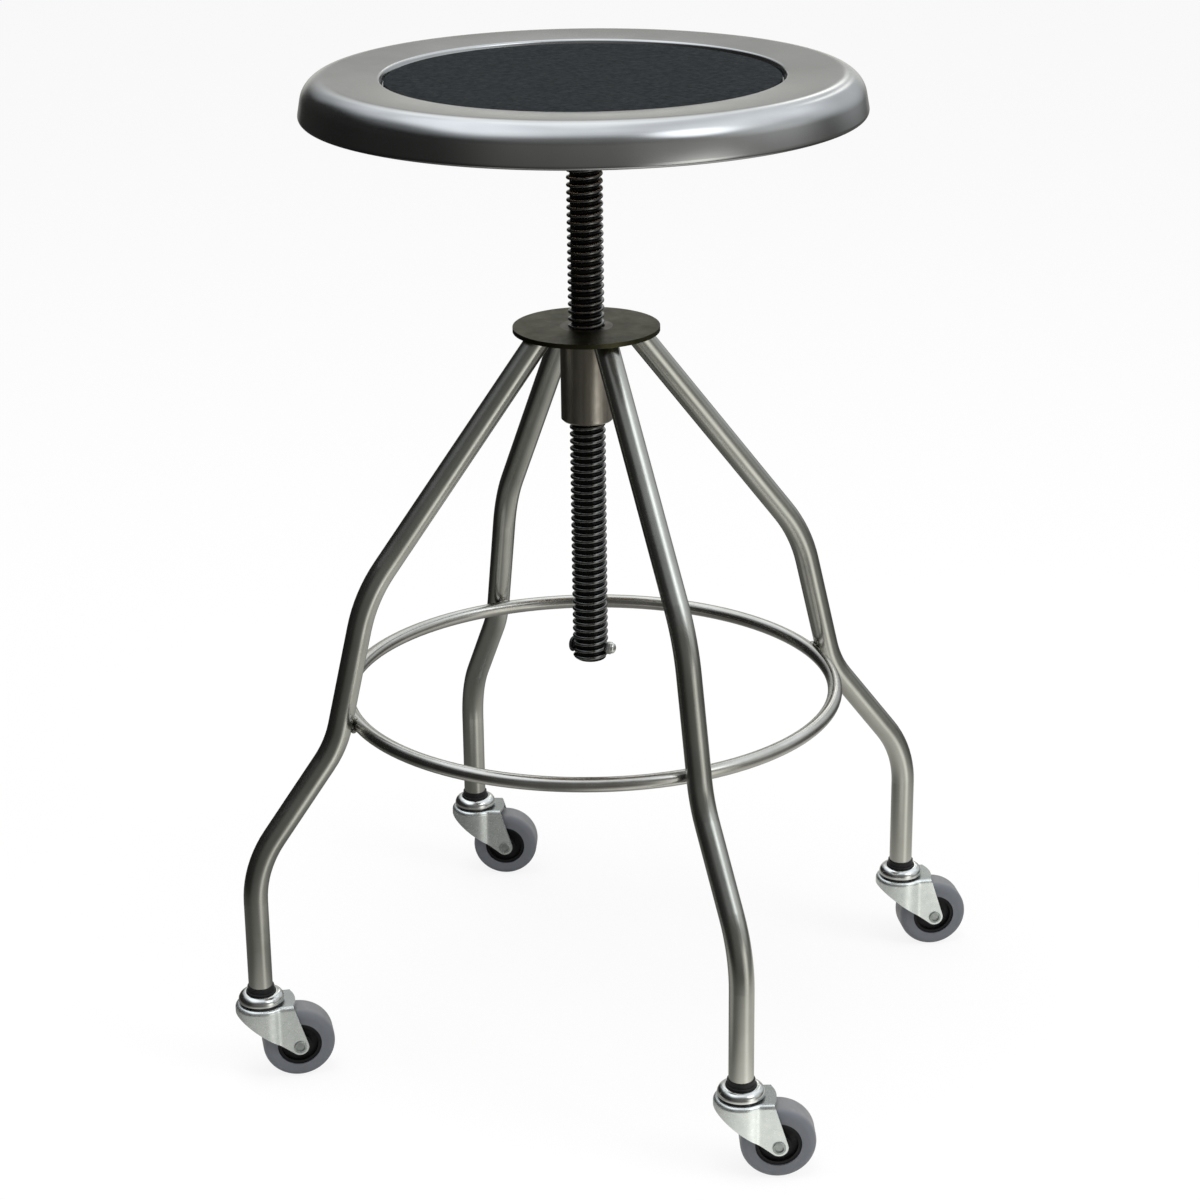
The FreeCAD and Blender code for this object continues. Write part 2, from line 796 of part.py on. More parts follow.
def make_caster_bush(side):
    body = new_body(f"caster_bush_{side}")
    bore = size["axle_radius"] + size["running_gap"]
    end = size["core_boss_width"] / 2
    revolve(body, ((bore, -end), (bush_radius, -end), (bush_radius, end), (bore, end)))
    return body


def make_caster_core(side):
    body = new_body(f"caster_core_{side}")
    bore = bush_radius + size["tight_gap"]
    boss = size["core_boss_radius"]
    rim_inside = size["core_radius"] - size["core_rim_wall"]
    boss_end = size["core_boss_width"] / 2
    web_end = size["core_web_width"] / 2
    rim_end = size["core_rim_width"] / 2
    revolve(body, (
        (bore, -boss_end),
        (boss, -boss_end),
        (boss, -web_end),
        (rim_inside, -web_end),
        (rim_inside, -rim_end),
        (size["core_radius"], -rim_end),
        (size["core_radius"], rim_end),
        (rim_inside, rim_end),
        (rim_inside, web_end),
        (boss, web_end),
        (boss, boss_end),
        (bore, boss_end),
    ))
    return body


def make_caster_tyre(side):
    body = new_body(f"caster_tyre_{side}")
    bore = size["core_radius"] + size["tight_gap"]
    radius = size["wheel_radius"]
    end = size["tyre_width"] / 2
    revolve(body, ((bore, -end), (radius, -end), (radius, end), (bore, end)))
    fillet(body, size["tyre_round"], ring_edge(radius, -end))
    fillet(body, size["tyre_round"], ring_edge(radius, end))
    return body


def make_caster(side):
    heading = math.radians(size[f"leg_heading_{side}"].number)
    reach = size["foot_reach"].number
    foot = Vector(reach * math.cos(heading), reach * math.sin(heading), 0)
    swivel = Placement(foot, Rotation(Vector(0, 0, 1), size[f"trail_{side}"].number))
    wheel_centre = Vector(size["caster_lead"].number, 0, size["wheel_radius"].number)
    wheel = swivel * Placement(wheel_centre, Rotation(Vector(1, 0, 0), 90))
    on_stem = (make_caster_socket, make_caster_stem, make_caster_cap, make_caster_bearing, make_caster_fork)
    on_axle = (make_caster_axle, make_caster_bush, make_caster_core, make_caster_tyre)
    for make in on_stem:
        make(side).Placement = swivel
    for make in on_axle:
        make(side).Placement = wheel


make_seat_shell()
make_seat_pad()
make_seat_backing()
make_seat_flange()
make_flange_screws()
make_bump_washer()
make_lift_screw()
make_stop_bolt()
make_stop_nut()
make_top_plate()
make_hub()
for side in sides:
    make_leg(side)
make_foot_ring()
for side in sides:
    make_caster(side)
doc.recompute()

for item in doc.Objects:
    if "Invalid" in item.State or "Error" in item.State:
        raise RuntimeError(f"{item.Label} did not compute: {item.State}")
for node in nodes:
    if node.Shape.isNull() or not node.Shape.isValid():
        raise RuntimeError(f"{node.Label} has no valid shape")

os.makedirs("parts", exist_ok=True)
for node in nodes:
    node.Shape.exportStep(f"parts/{node.Label}.step")
    print(f"{node.Label}: {len(node.Shape.Solids)} solid, {node.Shape.Volume / 1000:.2f} cm3")
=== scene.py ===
import math
import bpy
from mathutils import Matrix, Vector


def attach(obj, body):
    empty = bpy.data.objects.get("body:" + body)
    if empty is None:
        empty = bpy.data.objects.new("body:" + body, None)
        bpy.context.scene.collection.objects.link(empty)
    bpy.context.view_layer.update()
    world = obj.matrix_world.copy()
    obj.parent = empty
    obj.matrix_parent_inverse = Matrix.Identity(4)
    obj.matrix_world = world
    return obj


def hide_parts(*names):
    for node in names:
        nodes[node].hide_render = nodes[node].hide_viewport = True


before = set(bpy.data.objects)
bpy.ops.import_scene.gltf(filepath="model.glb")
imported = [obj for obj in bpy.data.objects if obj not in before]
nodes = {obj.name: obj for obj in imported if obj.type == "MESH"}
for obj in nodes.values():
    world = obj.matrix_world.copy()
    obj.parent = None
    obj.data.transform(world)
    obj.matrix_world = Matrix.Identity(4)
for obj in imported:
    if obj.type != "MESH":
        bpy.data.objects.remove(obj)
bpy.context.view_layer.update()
mm = 0.001
hair = 0.01  # mm within which a point counts as lying on a ring or an end
nearEnd = 0.1
weldGap = 0.002
faceOn = 0.9  # how squarely a face looks along an axis when it is picked by it
legHeadings = {"right": 0, "back": 90, "left": 180, "front": 270}  # degrees round the screw
wheelTrails = {"right": -14, "back": -25, "left": -11, "front": -21}  # where each wheel points from its stem
footReach = 238.0
print("frame loaded:", len(nodes), "nodes")


# picking and shaping

def clearSelection():
    if bpy.context.object and bpy.context.object.mode != "OBJECT":
        bpy.ops.object.mode_set(mode="OBJECT")
    bpy.ops.object.select_all(action="DESELECT")


def takeUp(piece):
    clearSelection()
    bpy.context.view_layer.objects.active = piece
    piece.select_set(True)


def justAdded(name):
    piece = bpy.context.object
    piece.name = name
    piece.data.name = name
    bpy.ops.object.transform_apply(location=True, rotation=True, scale=True)
    return piece


def pick(piece, kind, test):  # goes into edit mode with what passes the test selected
    takeUp(piece)
    mesh = piece.data
    for items in (mesh.vertices, mesh.edges, mesh.polygons):
        items.foreach_set("select", [False] * len(items))
    items = {"VERT": mesh.vertices, "EDGE": mesh.edges, "FACE": mesh.polygons}[kind]
    items.foreach_set("select", [bool(test(item)) for item in items])
    bpy.context.tool_settings.mesh_select_mode = (kind == "VERT", kind == "EDGE", kind == "FACE")
    bpy.ops.object.mode_set(mode="EDIT")


def pickAll(piece):
    takeUp(piece)
    bpy.ops.object.mode_set(mode="EDIT")
    bpy.ops.mesh.select_all(action="SELECT")


def edgeSpan(piece, edge):
    return [piece.data.vertices[i].co for i in edge.vertices]


def useModifier(piece, kind, **settings):
    takeUp(piece)
    modifier = piece.modifiers.new(kind.lower(), kind)
    for field, value in settings.items():
        setattr(modifier, field, value)
    bpy.ops.object.modifier_apply(modifier=modifier.name)


def weldAndTurnOut(piece):  # merge what lies together, then point every face outwards
    pickAll(piece)
    bpy.ops.mesh.remove_doubles(threshold=weldGap * mm)
    bpy.ops.mesh.normals_make_consistent(inside=False)
    bpy.ops.object.mode_set(mode="OBJECT")


def addCylinder(name, sides, radius, low, high):  # upright, between two heights
    clearSelection()
    bpy.ops.mesh.primitive_cylinder_add(
        vertices=sides, radius=radius * mm, depth=(high - low) * mm, location=(0, 0, (low + high) / 2 * mm))
    return justAdded(name)


def roundEnd(piece, out, height, radius, steps):  # fillet round the top (out is 1) or the foot (out is -1)
    level = (height * out - nearEnd) * mm
    pick(piece, "EDGE", lambda e: all(c.z * out > level for c in edgeSpan(piece, e)))
    bpy.ops.mesh.bevel(offset=radius * mm, segments=steps, affect="EDGES")


def cutWith(piece, tool, operation="DIFFERENCE"):
    useModifier(piece, "BOOLEAN", operation=operation, object=tool, solver="EXACT")
    bpy.data.objects.remove(tool)


def copyOf(piece, name):
    takeUp(piece)
    bpy.ops.object.duplicate(linked=False)
    twin = bpy.context.object
    twin.name = name
    twin.data.name = name
    return twin


def place(piece, turn=(0, 0, 0), move=(0, 0, 0)):
    takeUp(piece)
    piece.rotation_euler = [math.radians(a) for a in turn]
    piece.location = [m * mm for m in move]
    bpy.ops.object.transform_apply(location=True, rotation=True, scale=True)


def joined(pieces, name):
    takeUp(pieces[0])
    for piece in pieces[1:]:
        piece.select_set(True)
    bpy.ops.object.join()
    whole = bpy.context.object
    whole.name = name
    whole.data.name = name
    return whole


def settle(piece, body, slot, material, *stoodFor, smooth=35):
    takeUp(piece)
    bpy.ops.object.shade_smooth_by_angle(angle=math.radians(smooth))
    piece.data.materials.clear()
    piece.data.materials.append(material)
    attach(piece, body)
    if stoodFor:
        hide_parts(*stoodFor)


def footSpot(side):
    heading = math.radians(legHeadings[side])
    return footReach * math.cos(heading), footReach * math.sin(heading)


# shader parts that several finishes share

def addNode(tree, kind, inputs=None, **fields):
    node = tree.nodes.new(kind)
    for field, value in fields.items():
        setattr(node, field, value)
    for name, value in (inputs or {}).items():
        node.inputs[name].default_value = value
    return node


def addMath(tree, operation, first, second=0):
    node = addNode(tree, "ShaderNodeMath", operation=operation)
    for socket, value in zip(node.inputs, (first, second)):
        if isinstance(value, (int, float)):
            socket.default_value = value
        else:
            tree.links.new(value, socket)
    return node.outputs["Value"]


def addDot(tree, vector, way):
    node = addNode(tree, "ShaderNodeVectorMath", operation="DOT_PRODUCT")
    node.inputs[1].default_value = way
    tree.links.new(vector, node.inputs[0])
    return node.outputs["Value"]


def addSoftStep(tree, source, low, high, start, end):
    ends = {"From Min": low, "From Max": high, "To Min": start, "To Max": end}
    step = addNode(tree, "ShaderNodeMapRange", ends, interpolation_type="SMOOTHSTEP")
    tree.links.new(source, step.inputs["Value"])
    return step.outputs["Result"]


colorSockets = {"low": 6, "high": 7, "mixed": 2}  # a mix node has a set of sockets for each kind of value


def addColorMix(tree, share, low, high):
    mix = addNode(tree, "ShaderNodeMix", data_type="RGBA")
    mix.inputs[colorSockets["low"]].default_value = (*low, 1)
    mix.inputs[colorSockets["high"]].default_value = (*high, 1)
    tree.links.new(share, mix.inputs[0])
    return mix.outputs[colorSockets["mixed"]]


def newGroup(name, inputs, outputs):
    group = bpy.data.node_groups.new(name, "ShaderNodeTree")
    for label, kind, value in inputs:
        socket = group.interface.new_socket(label, in_out="INPUT", socket_type=kind)
        if value is not None:
            socket.default_value = value
    for label, kind in outputs:
        group.interface.new_socket(label, in_out="OUTPUT", socket_type=kind)
    return group, group.nodes.new("NodeGroupInput"), group.nodes.new("NodeGroupOutput")


def makeClouds():  # slow cloudy drift between two values
    group, start, end = newGroup("clouds", [
        ("Vector", "NodeSocketVector", None),
        ("Scale", "NodeSocketFloat", 40.0),
        ("Low", "NodeSocketFloat", 0.0),
        ("High", "NodeSocketFloat", 1.0),
    ], [("Value", "NodeSocketFloat")])
    noise = addNode(group, "ShaderNodeTexNoise", {"Detail": 3.0, "Roughness": 0.55})
    spread = addNode(group, "ShaderNodeMapRange", {"From Min": 0.3, "From Max": 0.7})
    group.links.new(start.outputs["Vector"], noise.inputs["Vector"])
    group.links.new(start.outputs["Scale"], noise.inputs["Scale"])
    group.links.new(noise.outputs["Fac"], spread.inputs["Value"])
    group.links.new(start.outputs["Low"], spread.inputs["To Min"])
    group.links.new(start.outputs["High"], spread.inputs["To Max"])
    group.links.new(spread.outputs["Result"], end.inputs["Value"])
    return group


def makeBrushMarks():  # fine lines drawn out along one direction
    group, start, end = newGroup("brushMarks", [
        ("Vector", "NodeSocketVector", None),
        ("Stretch", "NodeSocketVector", (1.0, 1.0, 0.02)),
        ("Scale", "NodeSocketFloat", 900.0),
    ], [("Height", "NodeSocketFloat")])
    drawn = addNode(group, "ShaderNodeVectorMath", operation="MULTIPLY")
    coarse = addNode(group, "ShaderNodeTexNoise", {"Detail": 2.0, "Roughness": 0.5})
    group.links.new(start.outputs["Vector"], drawn.inputs[0])
    group.links.new(start.outputs["Stretch"], drawn.inputs[1])
    group.links.new(drawn.outputs["Vector"], coarse.inputs["Vector"])
    group.links.new(start.outputs["Scale"], coarse.inputs["Scale"])
    group.links.new(coarse.outputs["Fac"], end.inputs["Height"])
    return group


pebbles = {"fineScale": 2.3, "fineShare": 0.6}


def makeGrain():  # fine pebbled skin of moulded rubber and plastic
    group, start, end = newGroup("grain", [
        ("Vector", "NodeSocketVector", None),
        ("Scale", "NodeSocketFloat", 900.0),
    ], [("Height", "NodeSocketFloat")])
    cells = addNode(group, "ShaderNodeTexVoronoi", {"Randomness": 1.0}, feature="SMOOTH_F1")
    noise = addNode(group, "ShaderNodeTexNoise", {"Detail": 2.0})
    finer = addMath(group, "MULTIPLY", start.outputs["Scale"], pebbles["fineScale"])
    total = addNode(group, "ShaderNodeMath", operation="MULTIPLY_ADD")
    total.inputs[1].default_value = pebbles["fineShare"]
    group.links.new(start.outputs["Vector"], cells.inputs["Vector"])
    group.links.new(start.outputs["Scale"], cells.inputs["Scale"])
    group.links.new(start.outputs["Vector"], noise.inputs["Vector"])
    group.links.new(finer, noise.inputs["Scale"])
    group.links.new(noise.outputs["Fac"], total.inputs[0])
    group.links.new(cells.outputs["Distance"], total.inputs[2])
    group.links.new(total.outputs["Value"], end.inputs["Height"])
    return group


clouds = makeClouds()
brushMarks = makeBrushMarks()
grain = makeGrain()


class Finish:  # one material being put together
    def __init__(self, name):
        self.material = bpy.data.materials.new(name)
        self.material.use_nodes = True
        self.tree = self.material.node_tree
        self.shader = self.tree.nodes["Principled BSDF"]
        self.coords = addNode(self.tree, "ShaderNodeTexCoord").outputs["Object"]

    def use(self, group, vector=None, **inputs):
        node = addNode(self.tree, "ShaderNodeGroup", node_tree=group)
        for label, value in inputs.items():
            node.inputs[label].default_value = value
        self.tree.links.new(vector or self.coords, node.inputs["Vector"])
        return node.outputs[0]

    def join(self, output, field):
        self.tree.links.new(output, self.shader.inputs[field])

    def drift(self, low, high, scale, vector=None):  # colour that wanders between two shades
        shade = addColorMix(self.tree, self.use(clouds, vector, Scale=scale), low, high)
        self.join(shade, "Base Color")
        return shade

    def stretched(self, by):
        drawn = addNode(self.tree, "ShaderNodeVectorMath", operation="MULTIPLY")
        drawn.inputs[1].default_value = by
        self.tree.links.new(self.coords, drawn.inputs[0])
        return drawn.outputs["Vector"]

    def fade(self, shade, vector, start, end, left):  # the colour falls to a share of itself as Z grows
        apart = addNode(self.tree, "ShaderNodeSeparateXYZ")
        ends = {"From Min": start, "From Max": end, "To Min": 1, "To Max": left}
        share = addNode(self.tree, "ShaderNodeMapRange", ends)
        scaled = addNode(self.tree, "ShaderNodeVectorMath", operation="SCALE")
        self.tree.links.new(vector, apart.inputs["Vector"])
        self.tree.links.new(apart.outputs["Z"], share.inputs["Value"])
        self.tree.links.new(shade, scaled.inputs[0])
        self.tree.links.new(share.outputs["Result"], scaled.inputs["Scale"])
        self.join(scaled.outputs["Vector"], "Base Color")

    def roughness(self, low, high, scale, vector=None):
        self.join(self.use(clouds, vector, Scale=scale, Low=low, High=high), "Roughness")

    def bump(self, height, strength, distance):
        bump = addNode(self.tree, "ShaderNodeBump", {"Strength": strength, "Distance": distance})
        self.tree.links.new(height, bump.inputs["Height"])
        self.join(bump.outputs["Normal"], "Normal")

    def fix(self, **values):  # what is the same all over
        for field, value in values.items():
            self.shader.inputs[field.replace("_", " ")].default_value = value

    def roundTheScrew(self):  # distance from the screw's axis, with the height beside it
        flat = addNode(self.tree, "ShaderNodeVectorMath", operation="MULTIPLY")
        flat.inputs[1].default_value = (1, 1, 0)
        reach = addNode(self.tree, "ShaderNodeVectorMath", operation="LENGTH")
        apart = addNode(self.tree, "ShaderNodeSeparateXYZ")
        both = addNode(self.tree, "ShaderNodeCombineXYZ")
        self.tree.links.new(self.coords, flat.inputs[0])
        self.tree.links.new(flat.outputs["Vector"], reach.inputs[0])
        self.tree.links.new(self.coords, apart.inputs["Vector"])
        self.tree.links.new(reach.outputs["Value"], both.inputs["X"])
        self.tree.links.new(apart.outputs["Z"], both.inputs["Z"])
        return both.outputs["Vector"]


steelFinishes = {  # dark and light shade, roughness from and to, clouds per metre, brush stretch and depth
    "seatSteel": ((0.465, 0.47, 0.48), (0.535, 0.54, 0.55), 0.17, 0.23, 14, None, 0.012),
    "legSteel": ((0.45, 0.45, 0.42), (0.53, 0.53, 0.50), 0.20, 0.27, 25, (0.05, 0.05, 1), 0.03),
    "ringSteel": ((0.47, 0.46, 0.43), (0.58, 0.57, 0.55), 0.17, 0.28, 40, (0.2, 0.2, 1), 0.03),
    "plateSteel": ((0.043, 0.041, 0.022), (0.088, 0.084, 0.048), 0.36, 0.48, 55, (1, 0.05, 1), 0.04),
    "hubSteel": ((0.22, 0.195, 0.165), (0.60, 0.56, 0.50), 0.32, 0.46, 90, (1, 1, 0.04), 0.05),
    "weldSteel": ((0.36, 0.35, 0.32), (0.52, 0.51, 0.48), 0.30, 0.45, 220, (1, 1, 1), 0.08),
    "forkZinc": ((0.68, 0.715, 0.71), (0.77, 0.80, 0.79), 0.24, 0.34, 130, (1, 1, 0.25), 0.005),
    "capBright": ((0.62, 0.63, 0.62), (0.74, 0.75, 0.75), 0.12, 0.22, 160, (1, 1, 0.3), 0.02),
    "axleZinc": ((0.27, 0.29, 0.28), (0.42, 0.44, 0.43), 0.30, 0.45, 300, (1, 1, 1), 0.06),
    "nutBright": ((0.60, 0.60, 0.58), (0.74, 0.74, 0.72), 0.16, 0.28, 300, (1, 1, 1), 0.03),
    "fixingSteel": ((0.48, 0.49, 0.48), (0.62, 0.63, 0.62), 0.28, 0.42, 250, (1, 1, 1), 0.06),
    "innerSteel": ((0.42, 0.42, 0.42), (0.55, 0.55, 0.55), 0.30, 0.45, 200, (1, 1, 0.1), 0.06),
}
partMetal = {"forkZinc": 0.92, "axleZinc": 0.8}  # dull plating, the rest is bare metal


# the hub's streaks up and down are painted streak reflections; its end is darkened to the plate's tone
hubPaintedStreaksAndEnd = {"drawn": (1, 1, 0.06), "darkFrom": 483.5, "darkTo": 486.0, "left": 0.34}
# painted shade on the fork's faces that look up
forkTopPaintedShade = {"facingFrom": 0.9, "facingTo": 0.98, "left": 0.5}
steelLines = {"spun": 2200, "drawn": 1400, "height": 0.0002, "spunPull": 0.25, "roughClouds": 2.3}


def makeSteel(name):
    low, high, smoothest, roughest, scale, stretch, depth = steelFinishes[name]
    finish = Finish(name)
    if name == "hubSteel":  # painted reflection: the tone wanders in streaks up and down that stand in for streak reflections, and the end is darkened to the plate's tone
        p = hubPaintedStreaksAndEnd
        shade = finish.drift(low, high, scale, finish.stretched(p["drawn"]))
        finish.fade(shade, finish.coords, p["darkFrom"] * mm, p["darkTo"] * mm, p["left"])
    else:
        shade = finish.drift(low, high, scale)
    if name == "forkZinc":  # painted shade: the faces that look up are darkened to stand in for the darker surroundings they mirror
        facing = addNode(finish.tree, "ShaderNodeNewGeometry").outputs["Normal"]
        finish.fade(shade, facing, forkTopPaintedShade["facingFrom"], forkTopPaintedShade["facingTo"], forkTopPaintedShade["left"])
    finish.roughness(smoothest, roughest, scale * steelLines["roughClouds"])
    finish.fix(Metallic=partMetal.get(name, 1.0))
    if stretch is None:  # spun on a lathe: the lines run round the screw's axis
        lines = finish.use(brushMarks, finish.roundTheScrew(), Stretch=(1, 1, 1), Scale=steelLines["spun"])
        finish.fix(Anisotropic=steelLines["spunPull"])
    else:
        lines = finish.use(brushMarks, Stretch=stretch, Scale=steelLines["drawn"])
    finish.bump(lines, depth, steelLines["height"])
    return finish.material


darkFinishes = {  # dark and light shade, least and most rough, clouds and grain per metre, grain depth, shine
    "padRubber": ((0.005, 0.0068, 0.0082), (0.011, 0.0136, 0.0156), 0.66, 0.85, 170, 620, 0.50, 0.08),
    "screwBlack": ((0.0015, 0.0015, 0.0015), (0.004, 0.004, 0.0035), 0.06, 0.09, 120, 900, 0.002, 1.0),
    "boltBlack": ((0.008, 0.008, 0.009), (0.018, 0.018, 0.018), 0.24, 0.38, 200, 2600, 0.03, 0.5),
    "socketBlack": ((0.006, 0.006, 0.007), (0.012, 0.012, 0.013), 0.42, 0.56, 160, 1800, 0.08, 0.3),
    "coreBlack": ((0.004, 0.004, 0.005), (0.009, 0.009, 0.010), 0.42, 0.58, 160, 1500, 0.10, 0.2),
    "bumpRubber": ((0.012, 0.012, 0.012), (0.022, 0.022, 0.022), 0.60, 0.78, 160, 1400, 0.20, 0.3),
    "flangeIron": ((0.012, 0.012, 0.013), (0.026, 0.026, 0.027), 0.45, 0.62, 120, 700, 0.30, 0.4),
    "bushPlastic": ((0.48, 0.47, 0.44), (0.58, 0.57, 0.54), 0.40, 0.52, 160, 1500, 0.10, 0.5),
}


# the low shine at the thread roots is painted shade in the thread's hollows
threadShine = {"index": 1.8, "root": 10.3, "crest": 11.4, "dull": 0.05}
moulding = {"roughClouds": 1.7, "grainHeight": 0.0004}


def makeDark(name):
    low, high, smoothest, roughest, scale, grainScale, depth, shine = darkFinishes[name]
    finish = Finish(name)
    finish.drift(low, high, scale)
    finish.roughness(smoothest, roughest, scale * moulding["roughClouds"])
    finish.bump(finish.use(grain, Scale=grainScale), depth, moulding["grainHeight"])
    finish.fix(Specular_IOR_Level=shine)
    if name == "screwBlack":  # oiled black oxide shines more than plastic; the shine falling off toward the roots is painted shade in the thread's hollows
        p = threadShine
        finish.fix(IOR=p["index"])
        apart = addNode(finish.tree, "ShaderNodeSeparateXYZ")
        finish.tree.links.new(finish.roundTheScrew(), apart.inputs["Vector"])
        reach = apart.outputs["X"]
        byReach = addSoftStep(finish.tree, reach, p["root"] * mm, p["crest"] * mm, p["dull"], shine)
        finish.join(byReach, "Specular IOR Level")
    return finish.material


# the tread's paler colour is painted light from above as well as scuffing
tyreRubber = {"side": (0.118, 0.126, 0.142), "treadLitAndScuffed": (0.205, 0.205, 0.212), "treadHalf": 6.0,
              "sideHalf": 9.6, "wearScale": 180.0, "leastWear": 0.75, "smoothest": 0.42, "roughest": 0.56,
              "roughClouds": 220, "grainScale": 1500, "grainDepth": 0.06, "shine": 0.5}


def makeTyreRubber(side):  # moulded grey sides, and a paler tread: painted light from above together with scuffing
    p = tyreRubber
    finish = Finish("tyreGrey_" + side)
    tree = finish.tree
    heading = math.radians(wheelTrails[side] + 90)  # along the axle
    axle = (math.cos(heading), math.sin(heading), 0)
    x, y = footSpot(side)
    middle = (x * axle[0] + y * axle[1]) * mm
    half = addMath(tree, "ABSOLUTE", addMath(tree, "SUBTRACT", addDot(tree, finish.coords, axle), middle))
    litAndWorn = addSoftStep(tree, half, p["treadHalf"] * mm, p["sideHalf"] * mm, 1, 0)
    patches = finish.use(clouds, Scale=p["wearScale"], Low=p["leastWear"], High=1.0)
    mottle = addMath(tree, "MULTIPLY", litAndWorn, patches)
    finish.join(addColorMix(tree, mottle, p["side"], p["treadLitAndScuffed"]), "Base Color")
    finish.roughness(p["smoothest"], p["roughest"], p["roughClouds"])
    finish.bump(finish.use(grain, Scale=p["grainScale"]), p["grainDepth"], moulding["grainHeight"])
    finish.fix(Specular_IOR_Level=p["shine"])
    return finish.material


plywood = {"dark": (0.26, 0.165, 0.09), "pale": (0.52, 0.37, 0.22), "drawn": (0.05, 1, 1), "lines": 160,
           "smoothest": 0.6, "roughest": 0.75, "roughClouds": 60, "lineDepth": 0.2, "lineHeight": 0.0003}


def makeBoard():  # plywood under the pan, its grain along X
    p = plywood
    finish = Finish("backingBoard")
    lines = finish.use(brushMarks, Stretch=p["drawn"], Scale=p["lines"])
    finish.join(addColorMix(finish.tree, lines, p["dark"], p["pale"]), "Base Color")
    finish.roughness(p["smoothest"], p["roughest"], p["roughClouds"])
    finish.bump(lines, p["lineDepth"], p["lineHeight"])
    return finish.material


finishes = {name: makeSteel(name) for name in steelFinishes}
finishes.update({name: makeDark(name) for name in darkFinishes})
finishes["backingBoard"] = makeBoard()
for side in legHeadings:
    finishes["tyreGrey_" + side] = makeTyreRubber(side)
print("finishes made:", len(finishes))

nodeFinishes = {  # what each solid from the frame is finished in
    "seat_shell": "seatSteel",
    "seat_pad": "padRubber",
    "seat_backing": "backingBoard",
    "seat_flange": "flangeIron",
    "flange_screws": "fixingSteel",
    "bump_washer": "bumpRubber",
    "lift_screw": "screwBlack",
    "stop_bolt": "boltBlack",
    "stop_nut": "nutBright",
    "top_plate": "plateSteel",
    "hub": "hubSteel",
    "foot_ring": "ringSteel",
    "leg": "legSteel",
    "caster_socket": "socketBlack",
    "caster_stem": "innerSteel",
    "caster_cap": "capBright",
    "caster_bearing": "innerSteel",
    "caster_fork": "forkZinc",
    "caster_axle": "axleZinc",
    "caster_bush": "bushPlastic",
    "caster_core": "coreBlack",
}
for nodeName, node in nodes.items():
    kind = nodeName
    for side in legHeadings:
        kind = kind.removesuffix("_" + side)
    finishName = nodeFinishes.get(kind) or nodeName.replace("caster_tyre", "tyreGrey")
    node.data.materials.clear()
    node.data.materials.append(finishes[finishName])


# the lift screw with its round thread

liftScrew = {"radius": 11.7, "depth": 2.3, "pitch": 4.8, "foot": 259.1, "top": 632.0, "noseRound": 4.6,
             "noseSteps": 8, "stepsPerTurn": 40, "arcPoints": 12, "blankSides": 80, "blankOver": 0.3,
             "leadTurns": 2, "spareTurns": 4, "spareEnd": 1}


def makeLiftScrew():
    p = liftScrew
    quarter = p["pitch"] / 4
    middle = p["radius"] - quarter  # where crest and root arcs meet
    low = p["foot"] - p["leadTurns"] * p["pitch"]
    clearSelection()
    bpy.ops.mesh.primitive_circle_add(
        vertices=p["arcPoints"], radius=quarter * mm,
        location=(middle * mm, 0, low * mm), rotation=(math.pi / 2, 0, 0))
    screw = justAdded("liftScrewThread")
    pick(screw, "VERT", lambda v: v.co.x < (middle - hair) * mm)
    bpy.ops.mesh.delete(type="VERT")
    bpy.ops.mesh.select_all(action="SELECT")
    bpy.ops.mesh.duplicate()  # the root arc is the crest arc turned over
    centre = (middle * mm, 0, low * mm)
    bpy.ops.transform.rotate(value=math.pi, orient_axis="Y", center_override=centre)
    bpy.ops.transform.translate(value=(0, 0, 2 * quarter * mm))
    bpy.ops.mesh.select_all(action="SELECT")
    bpy.ops.mesh.remove_doubles(threshold=weldGap * mm)
    bpy.ops.transform.resize(
        value=(p["depth"] / (2 * quarter), 1, 1), center_override=(p["radius"] * mm, 0, low * mm))
    turns = math.ceil((p["top"] - p["foot"]) / p["pitch"]) + p["spareTurns"]
    useModifier(screw, "SCREW", axis="Z", angle=2 * math.pi, screw_offset=p["pitch"] * mm, iterations=turns,
                steps=p["stepsPerTurn"], render_steps=p["stepsPerTurn"])
    weldAndTurnOut(screw)
    for height, out in ((p["foot"] - p["spareEnd"], -1), (p["top"], 1)):
        pickAll(screw)
        bpy.ops.mesh.bisect(
            plane_co=(0, 0, height * mm), plane_no=(0, 0, out), use_fill=True, clear_outer=True)
    weldAndTurnOut(screw)
    blank = addCylinder("screwBlank", p["blankSides"], p["radius"] + p["blankOver"], p["foot"], p["top"])
    roundEnd(blank, -1, p["foot"], p["noseRound"], p["noseSteps"])
    cutWith(screw, blank, "INTERSECT")  # the bar with its rounded end bounds the thread
    settle(screw, "seat", "screw_black", finishes["screwBlack"], "lift_screw", smooth=50)
    print("lift screw:", turns, "turns,", len(screw.data.polygons), "faces")


makeLiftScrew()


# the seat pan, spun from one sheet

seatPan = {"radius": 177.8, "top": 650.1, "depth": 26.7, "flare": 4.8, "dish": 2.3, "hem": 9.0, "sheet": 1.2,
           "recess": 124.8, "recessDepth": 7.5, "recessLean": 1.5, "steps": 240}
panRounds = {"hem": (3.0, 8), "shoulder": (16.0, 22), "lip": (2.0, 6), "foot": (1.0, 3)}  # radius and steps


def roundRing(piece, ring, inner, outer, radius, steps):  # fillet where two drawn rings of sheet meet
    corner = (Vector(inner) - Vector(ring)).angle(Vector(outer) - Vector(ring))
    reach, height = ring

    def onRing(v):
        return abs(v.co.xy.length - reach * mm) < hair * mm and abs(v.co.z - height * mm) < hair * mm

    pick(piece, "EDGE", lambda e: all(onRing(piece.data.vertices[i]) for i in e.vertices))
    bpy.ops.mesh.bevel(offset=radius / math.tan(corner / 2) * mm, segments=steps, affect="EDGES")


